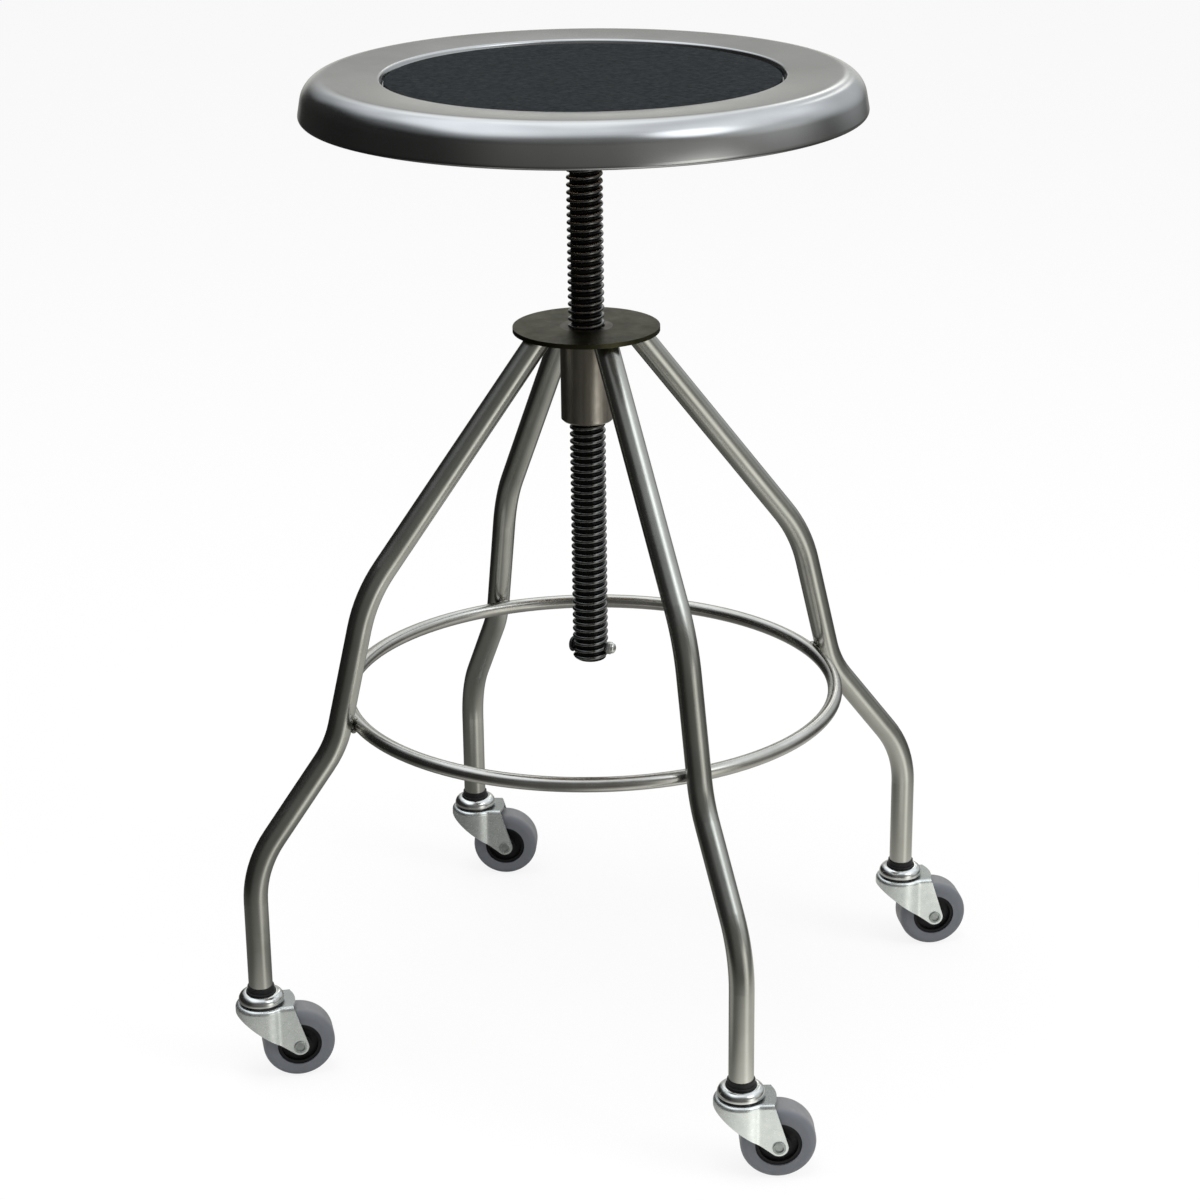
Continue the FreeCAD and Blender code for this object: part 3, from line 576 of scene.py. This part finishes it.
def makeSeatPan():
    p = seatPan
    low = p["top"] - p["recessDepth"]
    hemHeight = p["top"] - p["depth"]
    foot = (p["recess"], low)
    lip = (p["recess"] + p["recessLean"], p["top"] - p["dish"])
    brow = (p["radius"] - p["flare"], p["top"])
    edge = (p["radius"], hemHeight)
    end = (p["radius"] - p["hem"], hemHeight)
    clearSelection()
    bpy.ops.mesh.primitive_circle_add(vertices=p["steps"], radius=p["recess"] * mm, location=(0, 0, low * mm))
    pan = justAdded("seatPan")
    pickAll(pan)
    reach, height = foot
    for newReach, newHeight in (lip, brow, edge, end):  # the sheet drawn out ring by ring
        bpy.ops.mesh.extrude_edges_move(TRANSFORM_OT_translate={"value": (0, 0, (newHeight - height) * mm)})
        grow = newReach / reach
        bpy.ops.transform.resize(value=(grow, grow, 1), center_override=(0, 0, 0))
        reach, height = newReach, newHeight
    inside = (p["recess"] + nearEnd) * mm
    pick(pan, "EDGE", lambda e: all(c.xy.length < inside for c in edgeSpan(pan, e)))
    bpy.ops.mesh.edge_face_add()  # floor of the recess
    roundRing(pan, edge, end, brow, *panRounds["hem"])
    roundRing(pan, brow, edge, lip, *panRounds["shoulder"])
    roundRing(pan, lip, brow, foot, *panRounds["lip"])
    roundRing(pan, foot, lip, (0, low), *panRounds["foot"])
    pickAll(pan)
    bpy.ops.mesh.normals_make_consistent(inside=False)
    bpy.ops.object.mode_set(mode="OBJECT")
    floorFace = max(pan.data.polygons, key=lambda f: f.area)
    inward = -1 if floorFace.normal.z > 0 else 1
    useModifier(pan, "SOLIDIFY", thickness=p["sheet"] * mm, offset=inward, use_even_offset=True)
    weldAndTurnOut(pan)
    settle(pan, "seat", "seat_steel", finishes["seatSteel"], "seat_shell", smooth=40)
    print("seat pan spun:", len(pan.data.polygons), "faces")


makeSeatPan()


# the mat in the seat's recess

padMat = {"radius": 123.5, "low": 642.6, "thick": 3.2, "sides": 160, "edgeRound": 0.9, "edgeSteps": 4,
          "rings": 5, "leastTop": 0.01}


def makePadMat():
    p = padMat
    top = p["low"] + p["thick"]
    mat = addCylinder("padMat", p["sides"], p["radius"], p["low"], top)
    roundEnd(mat, 1, top, p["edgeRound"], p["edgeSteps"])
    pick(mat, "FACE", lambda f: f.normal.z > faceOn and f.area > p["leastTop"])  # in square metres
    for ring in range(p["rings"]):
        bpy.ops.mesh.inset(thickness=p["radius"] / (p["rings"] + 1) * mm)
    settle(mat, "seat", "pad_rubber", finishes["padRubber"], "seat_pad", smooth=40)


makePadMat()
print("pad mat laid")


# riveted axles

axleRivet = {"radius": 3.0, "sides": 40, "reach": 14.2, "headRadius": 4.2, "headHeight": 1.2,
             "headRound": 0.5, "headSteps": 4, "rim": 0.8, "dish": 1.2, "dishSlope": 0.3, "lead": 22.8,
             "height": 23.8}


def makeAxleRivets():
    p = axleRivet
    clearSelection()
    bpy.ops.mesh.primitive_cylinder_add(
        vertices=p["sides"], radius=p["radius"] * mm, depth=2 * p["reach"] * mm, rotation=(math.pi / 2, 0, 0))
    first = justAdded("axleRivet")
    grow = p["headRadius"] / p["radius"]
    end = (p["reach"] + p["headHeight"] - hair) * mm
    for out in (-1, 1):
        pick(first, "FACE", lambda f: f.normal.y * out > faceOn and f.center.y * out > 0)
        bpy.ops.mesh.extrude_region_move()
        bpy.ops.transform.resize(value=(grow, 1, grow), center_override=(0, out * p["reach"] * mm, 0))
        bpy.ops.mesh.extrude_region_move(TRANSFORM_OT_translate={"value": (0, out * p["headHeight"] * mm, 0)})
        pick(first, "EDGE", lambda e: all(c.y * out > end for c in edgeSpan(first, e)))
        bpy.ops.mesh.bevel(offset=p["headRound"] * mm, segments=p["headSteps"], affect="EDGES")
        pick(first, "FACE", lambda f: f.normal.y * out > faceOn and f.center.y * out > end)
        bpy.ops.mesh.inset(thickness=p["rim"] * mm)
        bpy.ops.mesh.inset(thickness=p["dishSlope"] * mm, depth=-p["dish"] * mm)
    place(first, move=(p["lead"], 0, p["height"]))
    for side in legHeadings:
        rivet = copyOf(first, "axleRivet_" + side)
        place(rivet, (0, 0, wheelTrails[side]), (*footSpot(side), 0))
        settle(rivet, "swivel_" + side, "axle_zinc", finishes["axleZinc"], "caster_axle_" + side)
    bpy.data.objects.remove(first)


makeAxleRivets()
print("axles riveted")


# moulded foot round the collar of each socket

collarFoot = {"reach": 8.85, "bead": 1.05, "rest": 61.15, "middle": 61.3, "steps": 64, "beadSteps": 16}


def makeCollarFeet():
    p = collarFoot
    clearSelection()
    bpy.ops.mesh.primitive_torus_add(
        major_segments=p["steps"], minor_segments=p["beadSteps"], major_radius=p["reach"] * mm,
        minor_radius=p["bead"] * mm, location=(0, 0, p["middle"] * mm))
    first = justAdded("collarFoot")
    pickAll(first)
    bpy.ops.mesh.bisect(
        plane_co=(0, 0, p["rest"] * mm), plane_no=(0, 0, -1), use_fill=True, clear_outer=True)
    for side in legHeadings:
        foot = copyOf(first, "collarFoot_" + side)
        place(foot, move=(*footSpot(side), 0))
        settle(foot, "frame", "socket_black", finishes["socketBlack"], smooth=60)
    bpy.data.objects.remove(first)


makeCollarFeet()
print("collars footed")


# bolt and nut across the foot of the screw

stopBolt = {"heading": -43, "height": 267.6, "radius": 3.15, "sides": 28, "tipRound": 0.5, "tipSteps": 2,
            "reach": 11.7, "end": 14.7, "headRadius": 5.2, "headSides": 36, "headHeight": 3.0, "headRim": 0.6,
            "domeSteps": 6, "socket": 1.9, "socketSides": 6, "socketDepth": 1.6}
stopNut = {"radius": 4.2, "sides": 6, "hexLength": 3.4, "hexRound": 0.35, "hexSteps": 3, "length": 6.0,
           "domeRadius": 3.5, "domeSides": 32, "domeRim": 0.4, "domeSteps": 5}
domeOpen = 0.6  # share of a step by which a dome stops short of its pole


def growDome(piece, base, radius, height, steps):  # end face at +Z drawn up into a dome
    pick(piece, "FACE", lambda f: f.normal.z > faceOn and f.center.z > (base - hair) * mm)
    level, width = 0.0, radius
    for step in range(1, steps + 1):
        angle = math.pi / 2 * step / (steps + domeOpen)
        newLevel, newWidth = height * math.sin(angle), radius * math.cos(angle)
        bpy.ops.mesh.extrude_region_move(TRANSFORM_OT_translate={"value": (0, 0, (newLevel - level) * mm)})
        shrink = newWidth / width
        bpy.ops.transform.resize(value=(shrink, shrink, 1), center_override=(0, 0, 0))
        level, width = newLevel, newWidth


def makeStopBolt():
    p = stopBolt
    rim = p["reach"] + p["headRim"]
    top = p["reach"] + p["headHeight"]
    head = addCylinder("stopBolt", p["headSides"], p["headRadius"], p["reach"], rim)
    growDome(head, rim, p["headRadius"], top - rim, p["domeSteps"])
    low, high = top - p["socketDepth"], top + p["socketDepth"]
    cutWith(head, addCylinder("boltSocket", p["socketSides"], p["socket"], low, high))
    shank = addCylinder("boltShank", p["sides"], p["radius"], -p["end"], p["reach"])
    roundEnd(shank, -1, -p["end"], p["tipRound"], p["tipSteps"])
    bolt = joined([head, shank], "stopBolt")
    place(bolt, (0, -90, 0))
    place(bolt, (0, 0, p["heading"]), (0, 0, p["height"]))
    settle(bolt, "seat", "bolt_black", finishes["boltBlack"], "stop_bolt")


def makeStopNut():
    p = stopNut
    start = liftScrew["radius"]
    hexEnd = start + p["hexLength"]
    hexBase = addCylinder("stopNut", p["sides"], p["radius"], start, hexEnd)

    def isLevel(edge):
        one, other = edgeSpan(hexBase, edge)
        return abs(one.z - other.z) < nearEnd * mm

    pick(hexBase, "EDGE", isLevel)
    bpy.ops.mesh.bevel(offset=p["hexRound"] * mm, segments=p["hexSteps"], affect="EDGES")
    rim = hexEnd + p["domeRim"]
    dome = addCylinder("nutDome", p["domeSides"], p["domeRadius"], hexEnd - p["domeRim"], rim)
    growDome(dome, rim, p["domeRadius"], start + p["length"] - rim, p["domeSteps"])
    nut = joined([hexBase, dome], "stopNut")
    place(nut, (0, 90, 0))
    place(nut, (0, 0, stopBolt["heading"]), (0, 0, stopBolt["height"]))
    settle(nut, "seat", "nut_bright", finishes["nutBright"], "stop_nut")


makeStopBolt()
makeStopNut()
print("stop bolt and nut fitted")


# screws that hold the flange under the seat

flangeScrew = {"reach": 35.0, "under": 628.4, "radius": 2.2, "sides": 20, "depth": 7.0, "tipRound": 1.2,
               "tipSteps": 2, "headRadius": 4.5, "headSides": 32, "headHeight": 2.4, "headRound": 1.3,
               "headSteps": 5, "slotWidth": 1.1, "slotLength": 4.6, "slotDepth": 1.194}
screwSlants = {0: 12, 90: 40, 180: 75, 270: 25}  # each stopped where it came tight


def makeFlangeScrews():
    p = flangeScrew
    head = addCylinder("flangeScrew", p["headSides"], p["headRadius"], -p["headHeight"], 0)
    roundEnd(head, -1, -p["headHeight"], p["headRound"], p["headSteps"])
    for turn in (0, 90):
        clearSelection()
        bpy.ops.mesh.primitive_cube_add(size=mm)
        slot = justAdded("screwSlot")
        pickAll(slot)
        across = (p["slotLength"], p["slotWidth"], 2 * p["slotDepth"])
        bpy.ops.transform.resize(value=across, center_override=(0, 0, 0))
        place(slot, (0, 0, turn), (0, 0, -p["headHeight"]))
        cutWith(head, slot)
    shank = addCylinder("screwShank", p["sides"], p["radius"], 0, p["depth"])
    roundEnd(shank, 1, p["depth"], p["tipRound"], p["tipSteps"])
    first = joined([head, shank], "flangeScrew")
    screws = []
    for turn, slant in screwSlants.items():
        screw = copyOf(first, "flangeScrew_%d" % turn)
        place(screw, (0, 0, slant))
        heading = math.radians(turn)
        place(screw, move=(p["reach"] * math.cos(heading), p["reach"] * math.sin(heading), p["under"]))
        screws.append(screw)
    bpy.data.objects.remove(first)
    whole = joined(screws, "flangeScrews")
    settle(whole, "seat", "fixing_steel", finishes["fixingSteel"], "flange_screws")


makeFlangeScrews()
print("flange screws driven")


# weld beads

legWeld = {"reach": 31.1, "height": 483.9, "along": 10.3, "across": 8.15, "bead": 1.15, "beadSteps": 10,
           "ripples": 26, "proud": 0.16, "flatten": 0.85}
ringWeld = {"reach": 165.9, "height": 238.9, "offset": 3.6, "lean": 0.25, "bead": (2.1, 3.6, 1.7),
            "segments": 20, "rings": 12, "ripple": 0.9, "proud": 0.12}


def makeLegWelds():
    p = legWeld
    steps = 3 * p["ripples"]
    clearSelection()
    bpy.ops.mesh.primitive_torus_add(
        major_segments=steps, minor_segments=p["beadSteps"], major_radius=p["across"] * mm,
        minor_radius=p["bead"] * mm)
    first = justAdded("legWeld")

    def onRipple(v):  # every third ring of the bead stands a little proud
        return round(math.atan2(v.co.y, v.co.x) / (2 * math.pi) * steps) % 3 == 0

    pick(first, "VERT", onRipple)
    bpy.ops.transform.shrink_fatten(value=p["proud"] * mm)
    pickAll(first)
    bpy.ops.transform.resize(value=(p["along"] / p["across"], 1, p["flatten"]), center_override=(0, 0, 0))
    bpy.ops.mesh.bisect(plane_co=(0, 0, 0), plane_no=(0, 0, 1), use_fill=True, clear_outer=True)
    for side, heading in legHeadings.items():
        bead = copyOf(first, "legWeld_" + side)
        place(bead, move=(p["reach"], 0, p["height"]))
        place(bead, (0, 0, heading))
        settle(bead, "frame", "leg_steel", finishes["weldSteel"], smooth=60)
    bpy.data.objects.remove(first)


def makeRingWelds():
    p = ringWeld
    clearSelection()
    bpy.ops.mesh.primitive_uv_sphere_add(segments=p["segments"], ring_count=p["rings"], radius=mm)
    first = justAdded("ringWeld")
    pickAll(first)
    bpy.ops.transform.resize(value=p["bead"], center_override=(0, 0, 0))
    pick(first, "VERT", lambda v: round(v.co.y / (p["ripple"] * mm)) % 2 == 0)
    bpy.ops.transform.shrink_fatten(value=p["proud"] * mm)
    for side, heading in legHeadings.items():
        beads = []
        for way in (-1, 1):
            bead = copyOf(first, "ringWeld_%s_%d" % (side, way))
            rise = p["offset"] * way
            place(bead, move=(p["reach"] - p["lean"] * rise, 0, p["height"] + rise))
            beads.append(bead)
        pair = joined(beads, "ringWeld_" + side)
        place(pair, (0, 0, heading))
        settle(pair, "frame", "ring_steel", finishes["weldSteel"], smooth=60)
    bpy.data.objects.remove(first)


makeLegWelds()
makeRingWelds()
print("welds laid")


# camera, light and the grey room that the steel mirrors

cameraStand = {"spot": (-0.67173, -1.65751, 0.96290), "turn": (69.6556, 0.6479, -22.5132), "lens": 86.587,
               "sensor": 36, "farthest": 200}
towardCamera = (-0.376, -0.927, 0.0)
towardRight = (0.927, -0.376, 0.0)


def makeCamera():
    p = cameraStand
    clearSelection()
    bpy.ops.object.camera_add(location=p["spot"], rotation=[math.radians(a) for a in p["turn"]])
    camera = bpy.context.object
    camera.name = "camera"
    camera.data.lens = p["lens"]
    camera.data.sensor_width = p["sensor"]
    camera.data.clip_end = p["farthest"]
    bpy.context.scene.camera = camera


def seenDirectly(tree):  # 1 for rays from the camera, off shiny faces and through clear ones
    seen = addNode(tree, "ShaderNodeLightPath").outputs
    eitherWay = addMath(tree, "MAXIMUM", seen["Is Camera Ray"], seen["Is Glossy Ray"])
    return addMath(tree, "MAXIMUM", eitherWay, seen["Is Transmission Ray"])


backdrop = {"ambient": 0.64, "floorSide": 80.0, "floorColor": (0.86, 0.86, 0.86, 1), "floorWhite": 0.86}
white = {"Color": (1, 1, 1, 1), "Strength": 1.0}


def mixShaders(tree, share, first, second, out):
    mix = addNode(tree, "ShaderNodeMixShader")
    for socket, source in zip(mix.inputs, (share, first.outputs[0], second.outputs[0])):
        tree.links.new(source, socket)
    tree.links.new(mix.outputs[0], out.inputs["Surface"])


def makeWorld():
    world = bpy.data.worlds.new("studioWorld")
    bpy.context.scene.world = world
    world.use_nodes = True
    tree = world.node_tree
    tree.nodes.clear()
    out = addNode(tree, "ShaderNodeOutputWorld")
    soft = addNode(tree, "ShaderNodeBackground", {"Color": (1, 1, 1, 1), "Strength": backdrop["ambient"]})
    mixShaders(tree, seenDirectly(tree), soft, addNode(tree, "ShaderNodeBackground", white), out)


def makeFloor():
    clearSelection()
    bpy.ops.mesh.primitive_plane_add(size=backdrop["floorSide"])
    floor = justAdded("studioFloor")
    material = bpy.data.materials.new("floorWhite")
    material.use_nodes = True
    tree = material.node_tree
    tree.nodes.clear()
    out = addNode(tree, "ShaderNodeOutputMaterial")
    paper = addNode(tree, "ShaderNodeBsdfDiffuse", {"Color": backdrop["floorColor"]})
    share = addMath(tree, "MULTIPLY", seenDirectly(tree), backdrop["floorWhite"])
    mixShaders(tree, share, paper, addNode(tree, "ShaderNodeEmission", white), out)
    floor.data.materials.append(material)
    floor.visible_glossy = False  # the room below stands in for it in the steel


def addRamp(tree, source, low, high, stops):  # a curve through the given stops
    spread = addNode(tree, "ShaderNodeMapRange", {"From Min": low, "From Max": high})
    ramp = addNode(tree, "ShaderNodeValToRGB")
    ramp.color_ramp.interpolation = "EASE"
    elements = ramp.color_ramp.elements
    while len(elements) < len(stops):
        elements.new(0.5)
    for element, (at, light) in zip(elements, stops):
        element.position = (at - low) / (high - low)
        element.color = (light, light, light, 1)
    tree.links.new(source, spread.inputs["Value"])
    tree.links.new(spread.outputs["Result"], ramp.inputs["Fac"])
    return ramp.outputs["Color"]


def levelWay(turn):  # level direction at an angle from the camera's side round to the right
    turn = math.radians(turn)
    return [math.cos(turn) * c + math.sin(turn) * r for c, r in zip(towardCamera[:2], towardRight[:2])]


def onlyInMirrors(piece):  # met by reflections, and by nothing else
    piece.visible_camera = False
    piece.visible_diffuse = False
    piece.visible_shadow = False
    piece.visible_transmission = False


greyRoom = {
    "reach": 12.0, "segments": 64, "rings": 32,
    "wallTint": (1.0, 1.0, 0.94, 1), "ceilingTint": (0.92, 0.965, 1.0, 1),
    "wallByTurn": (  # degrees from the camera's side round to the right, and how light the wall is there
        (-180, 0.19), (-168, 0.11), (-156, 0.03), (-115, 0.02), (-60, 0.03), (-20, 0.12), (10, 0.15),
        (30, 0.23), (60, 0.28), (85, 0.26), (115, 0.12), (160, 0.11), (180, 0.19)),
    "wallByHeight": (  # from -1 straight down to 1 straight up
        (-1, 0.2), (-0.5, 0.6), (-0.3, 1.0), (-0.1, 0.9), (0.05, 1.0), (0.3, 1.2), (0.6, 0.8), (1, 0.5)),
    "backByHeight": (
        (-1, 0), (-0.2, 0.05), (-0.05, 0.4), (0.05, 0.70), (0.15, 0.36), (0.26, 0.16), (0.38, 0.24),
        (0.5, 0.45), (0.7, 0.4), (1, 0.2)),
    "backFull": -0.975, "backEnd": -0.91,
    "ceilingLight": 1.75,
    "ceilingByHeight": ((-1, 0), (0.45, 0), (0.7, 0.55), (0.85, 0.95), (1, 0.85)),
    "ceilingBySide": (
        (-1, 0.1), (-0.75, 0.2), (-0.5, 0.95), (-0.3, 1), (0, 0.8), (0.3, 0.58), (0.6, 0.5), (1, 0.45)),
    "ceilingByDepth": ((-1, 1), (0.15, 1), (0.35, 0.8), (0.5, 0.4), (0.62, 0.15), (1, 0.1)),
    "glows": (  # turn, rise and width in degrees, light
        (55, 48, 18, 1.95), (140, 26, 36, 0.6), (92, 38, 40, 0.5), (-160, 30, 20, 0.45)),
    "streaks": ((167, 0, 19, 30, 1.7), (173, -0.7, 19, 36, 1.3)),  # turn, drift, rise from and to, light
    "streakWidth": 4.5, "streakFade": 4,
}


def addGlow(tree, way, turn, rise, width, light):  # a soft round light on the room's wall
    rise = math.radians(rise)
    toGlow = [*(math.cos(rise) * part for part in levelWay(turn)), math.sin(rise)]
    return addSoftStep(tree, addDot(tree, way, toGlow), math.cos(math.radians(width)), 1, 0, light)


def addStreak(tree, turn, rise, start, drift, lowest, highest, light):  # a narrow light line up the wall
    fade = greyRoom["streakFade"]
    middle = addMath(tree, "ADD", addMath(tree, "MULTIPLY", rise, drift), start)
    off = addMath(tree, "ABSOLUTE", addMath(tree, "SUBTRACT", turn, middle))
    line = addSoftStep(tree, off, 0, greyRoom["streakWidth"], light, 0)
    above = addSoftStep(tree, rise, lowest - fade, lowest, 0, 1)
    below = addSoftStep(tree, rise, highest, highest + fade, 1, 0)
    return addMath(tree, "MULTIPLY", line, addMath(tree, "MULTIPLY", above, below))


def makeRoom():  # dark to the left, lighter at the right, with a pale ceiling
    p = greyRoom
    clearSelection()
    bpy.ops.mesh.primitive_uv_sphere_add(segments=p["segments"], ring_count=p["rings"], radius=p["reach"])
    room = justAdded("studioRoom")
    material = bpy.data.materials.new("roomGrey")
    material.use_nodes = True
    tree = material.node_tree
    tree.nodes.clear()
    out = addNode(tree, "ShaderNodeOutputMaterial")
    coords = addNode(tree, "ShaderNodeTexCoord")
    toward = addNode(tree, "ShaderNodeVectorMath", operation="NORMALIZE")
    flat = addNode(tree, "ShaderNodeVectorMath", operation="MULTIPLY")
    flat.inputs[1].default_value = (1, 1, 0)
    level = addNode(tree, "ShaderNodeVectorMath", operation="NORMALIZE")
    way = toward.outputs["Vector"]
    tree.links.new(coords.outputs["Object"], toward.inputs[0])
    tree.links.new(way, flat.inputs[0])
    tree.links.new(flat.outputs["Vector"], level.inputs[0])
    height = addDot(tree, way, (0, 0, 1))
    rise = addMath(tree, "DEGREES", addMath(tree, "ARCSINE", height))
    across = addDot(tree, level.outputs["Vector"], towardRight)
    along = addDot(tree, level.outputs["Vector"], towardCamera)
    turn = addMath(tree, "DEGREES", addMath(tree, "ARCTAN2", across, along))
    byTurn = addRamp(tree, turn, -180, 180, p["wallByTurn"])
    wall = addMath(tree, "MULTIPLY", byTurn, addRamp(tree, height, -1, 1, p["wallByHeight"]))
    behind = addSoftStep(tree, along, p["backFull"], p["backEnd"], 1, 0)
    back = addMath(tree, "MULTIPLY", addRamp(tree, height, -1, 1, p["backByHeight"]), behind)
    lowLight = addMath(tree, "ADD", wall, back)
    for streak in p["streaks"]:
        lowLight = addMath(tree, "ADD", lowLight, addStreak(tree, turn, rise, *streak))
    bySide = addRamp(tree, addDot(tree, way, towardRight), -1, 1, p["ceilingBySide"])
    byDepth = addRamp(tree, addDot(tree, way, towardCamera), -1, 1, p["ceilingByDepth"])
    byHeight = addRamp(tree, height, -1, 1, p["ceilingByHeight"])
    ceiling = addMath(tree, "MULTIPLY", byHeight, p["ceilingLight"])
    highLight = addMath(tree, "MULTIPLY", ceiling, addMath(tree, "MULTIPLY", bySide, byDepth))
    for glow in p["glows"]:
        highLight = addMath(tree, "ADD", highLight, addGlow(tree, way, *glow))
    both = addNode(tree, "ShaderNodeAddShader")
    for light, tint, end in ((lowLight, "wallTint", 0), (highLight, "ceilingTint", 1)):
        lit = addNode(tree, "ShaderNodeEmission", {"Color": p[tint]})
        tree.links.new(light, lit.inputs["Strength"])
        tree.links.new(lit.outputs[0], both.inputs[end])
    tree.links.new(both.outputs[0], out.inputs["Surface"])
    room.data.materials.append(material)
    onlyInMirrors(room)


def startCard(name):  # keeps its place and turn, so that its own coordinates start at its middle
    card = bpy.context.object
    card.name = name
    material = bpy.data.materials.new(name)
    material.use_nodes = True
    material.node_tree.nodes.clear()
    card.data.materials.append(material)
    coords = addNode(material.node_tree, "ShaderNodeTexCoord").outputs["Object"]
    return card, material.node_tree, coords


def lightCard(card, tree, light, through=None):  # adds its own light to what shows through it
    out = addNode(tree, "ShaderNodeOutputMaterial")
    clear = addNode(tree, "ShaderNodeBsdfTransparent")
    lit = addNode(tree, "ShaderNodeEmission", {"Color": greyRoom["wallTint"]})
    both = addNode(tree, "ShaderNodeAddShader")
    tree.links.new(light, lit.inputs["Strength"])
    if through:
        tree.links.new(through, clear.inputs["Color"])
    tree.links.new(clear.outputs[0], both.inputs[0])
    tree.links.new(lit.outputs[0], both.inputs[1])
    tree.links.new(both.outputs[0], out.inputs["Surface"])
    onlyInMirrors(card)


def addLength(tree, vector):
    node = addNode(tree, "ShaderNodeVectorMath", operation="LENGTH")
    tree.links.new(vector, node.inputs[0])
    return node.outputs["Value"]


nearPaper = {"reach": 0.75, "steps": 96, "height": 0.0003, "left": 0.14, "right": 0.66, "turnFrom": -0.15,
             "turnTo": 0.32, "fadeFrom": 0.30, "cover": 0.6}


def makePaper():  # the pale floor close round the stool, as the legs mirror it
    p = nearPaper
    clearSelection()
    bpy.ops.mesh.primitive_circle_add(
        vertices=p["steps"], radius=p["reach"], fill_type="NGON", location=(0, 0, p["height"]))
    card, tree, coords = startCard("studioPaper")
    across = addDot(tree, coords, towardRight)
    side = addSoftStep(tree, across, p["turnFrom"], p["turnTo"], p["left"], p["right"])
    fade = addSoftStep(tree, addLength(tree, coords), p["fadeFrom"], p["reach"], 1, 0)
    through = addMath(tree, "SUBTRACT", 1, addMath(tree, "MULTIPLY", fade, p["cover"]))
    lightCard(card, tree, addMath(tree, "MULTIPLY", side, fade), through)


casterSheet = {"reach": 0.17, "steps": 64, "height": 0.0006, "turn": 20, "shift": 0.06, "fadeFrom": 0.08,
               "lights": {"front": 0.42, "left": 0.30}}


def makeSheets():  # whiter floor right under the two casters nearest the camera
    p = casterSheet
    shift = [p["shift"] * part for part in levelWay(p["turn"])]
    for side, light in p["lights"].items():
        x, y = footSpot(side)
        clearSelection()
        bpy.ops.mesh.primitive_circle_add(
            vertices=p["steps"], radius=p["reach"], fill_type="NGON",
            location=(x * mm + shift[0], y * mm + shift[1], p["height"]))
        card, tree, coords = startCard("studioSheet_" + side)
        lightCard(card, tree, addSoftStep(tree, addLength(tree, coords), p["fadeFrom"], p["reach"], light, 0))


lightPanel = {"turn": 44, "away": 2.0, "halfWidth": 0.85, "top": 0.80, "foot": -1.4, "light": 1.2,
              "fadeFrom": 0.8}


def makePanel():  # tall light card at the right, which draws the streak down each leg
    p = lightPanel
    x, y = [p["away"] * part for part in levelWay(p["turn"])]
    middle = (p["top"] + p["foot"]) / 2
    clearSelection()
    bpy.ops.mesh.primitive_plane_add(
        size=2, location=(x, y, middle), rotation=(math.pi / 2, 0, math.atan2(y, x) - math.pi / 2))
    card, tree, coords = startCard("studioPanel")
    card.scale = (p["halfWidth"], (p["top"] - p["foot"]) / 2, 1)
    apart = addNode(tree, "ShaderNodeSeparateXYZ")
    tree.links.new(coords, apart.inputs["Vector"])
    acrossFade = addSoftStep(tree, addMath(tree, "ABSOLUTE", apart.outputs["X"]), 0, 1, p["light"], 0)
    upFade = addSoftStep(tree, addMath(tree, "ABSOLUTE", apart.outputs["Y"]), p["fadeFrom"], 1, 1, 0)
    lightCard(card, tree, addMath(tree, "MULTIPLY", acrossFade, upFade))


lamps = {
    "key": {"spot": (1.5, -1.9, 2.0), "aim": (0, 0, 0.35), "size": (1.1, 1.5), "power": 34},
    "top": {"spot": (-0.3, -0.2, 2.7), "aim": (0, 0, 0.5), "size": (1.8, 1.2), "power": 40},
}


def makeLamp(name):
    p = lamps[name]
    spot = Vector(p["spot"])
    clearSelection()
    bpy.ops.object.light_add(type="AREA", location=spot)
    lamp = bpy.context.object
    lamp.name = name + "Lamp"
    lamp.data.shape = "RECTANGLE"
    lamp.data.size, lamp.data.size_y = p["size"]
    lamp.data.energy = p["power"]
    lamp.visible_glossy = False  # the steel mirrors the room instead
    lamp.rotation_euler = (Vector(p["aim"]) - spot).to_track_quat("-Z", "Y").to_euler()


makeCamera()
makeWorld()
makeFloor()
makeRoom()
makePaper()
makeSheets()
makePanel()
for name in lamps:
    makeLamp(name)
bpy.context.scene.view_settings.view_transform = "Standard"
print("studio set")
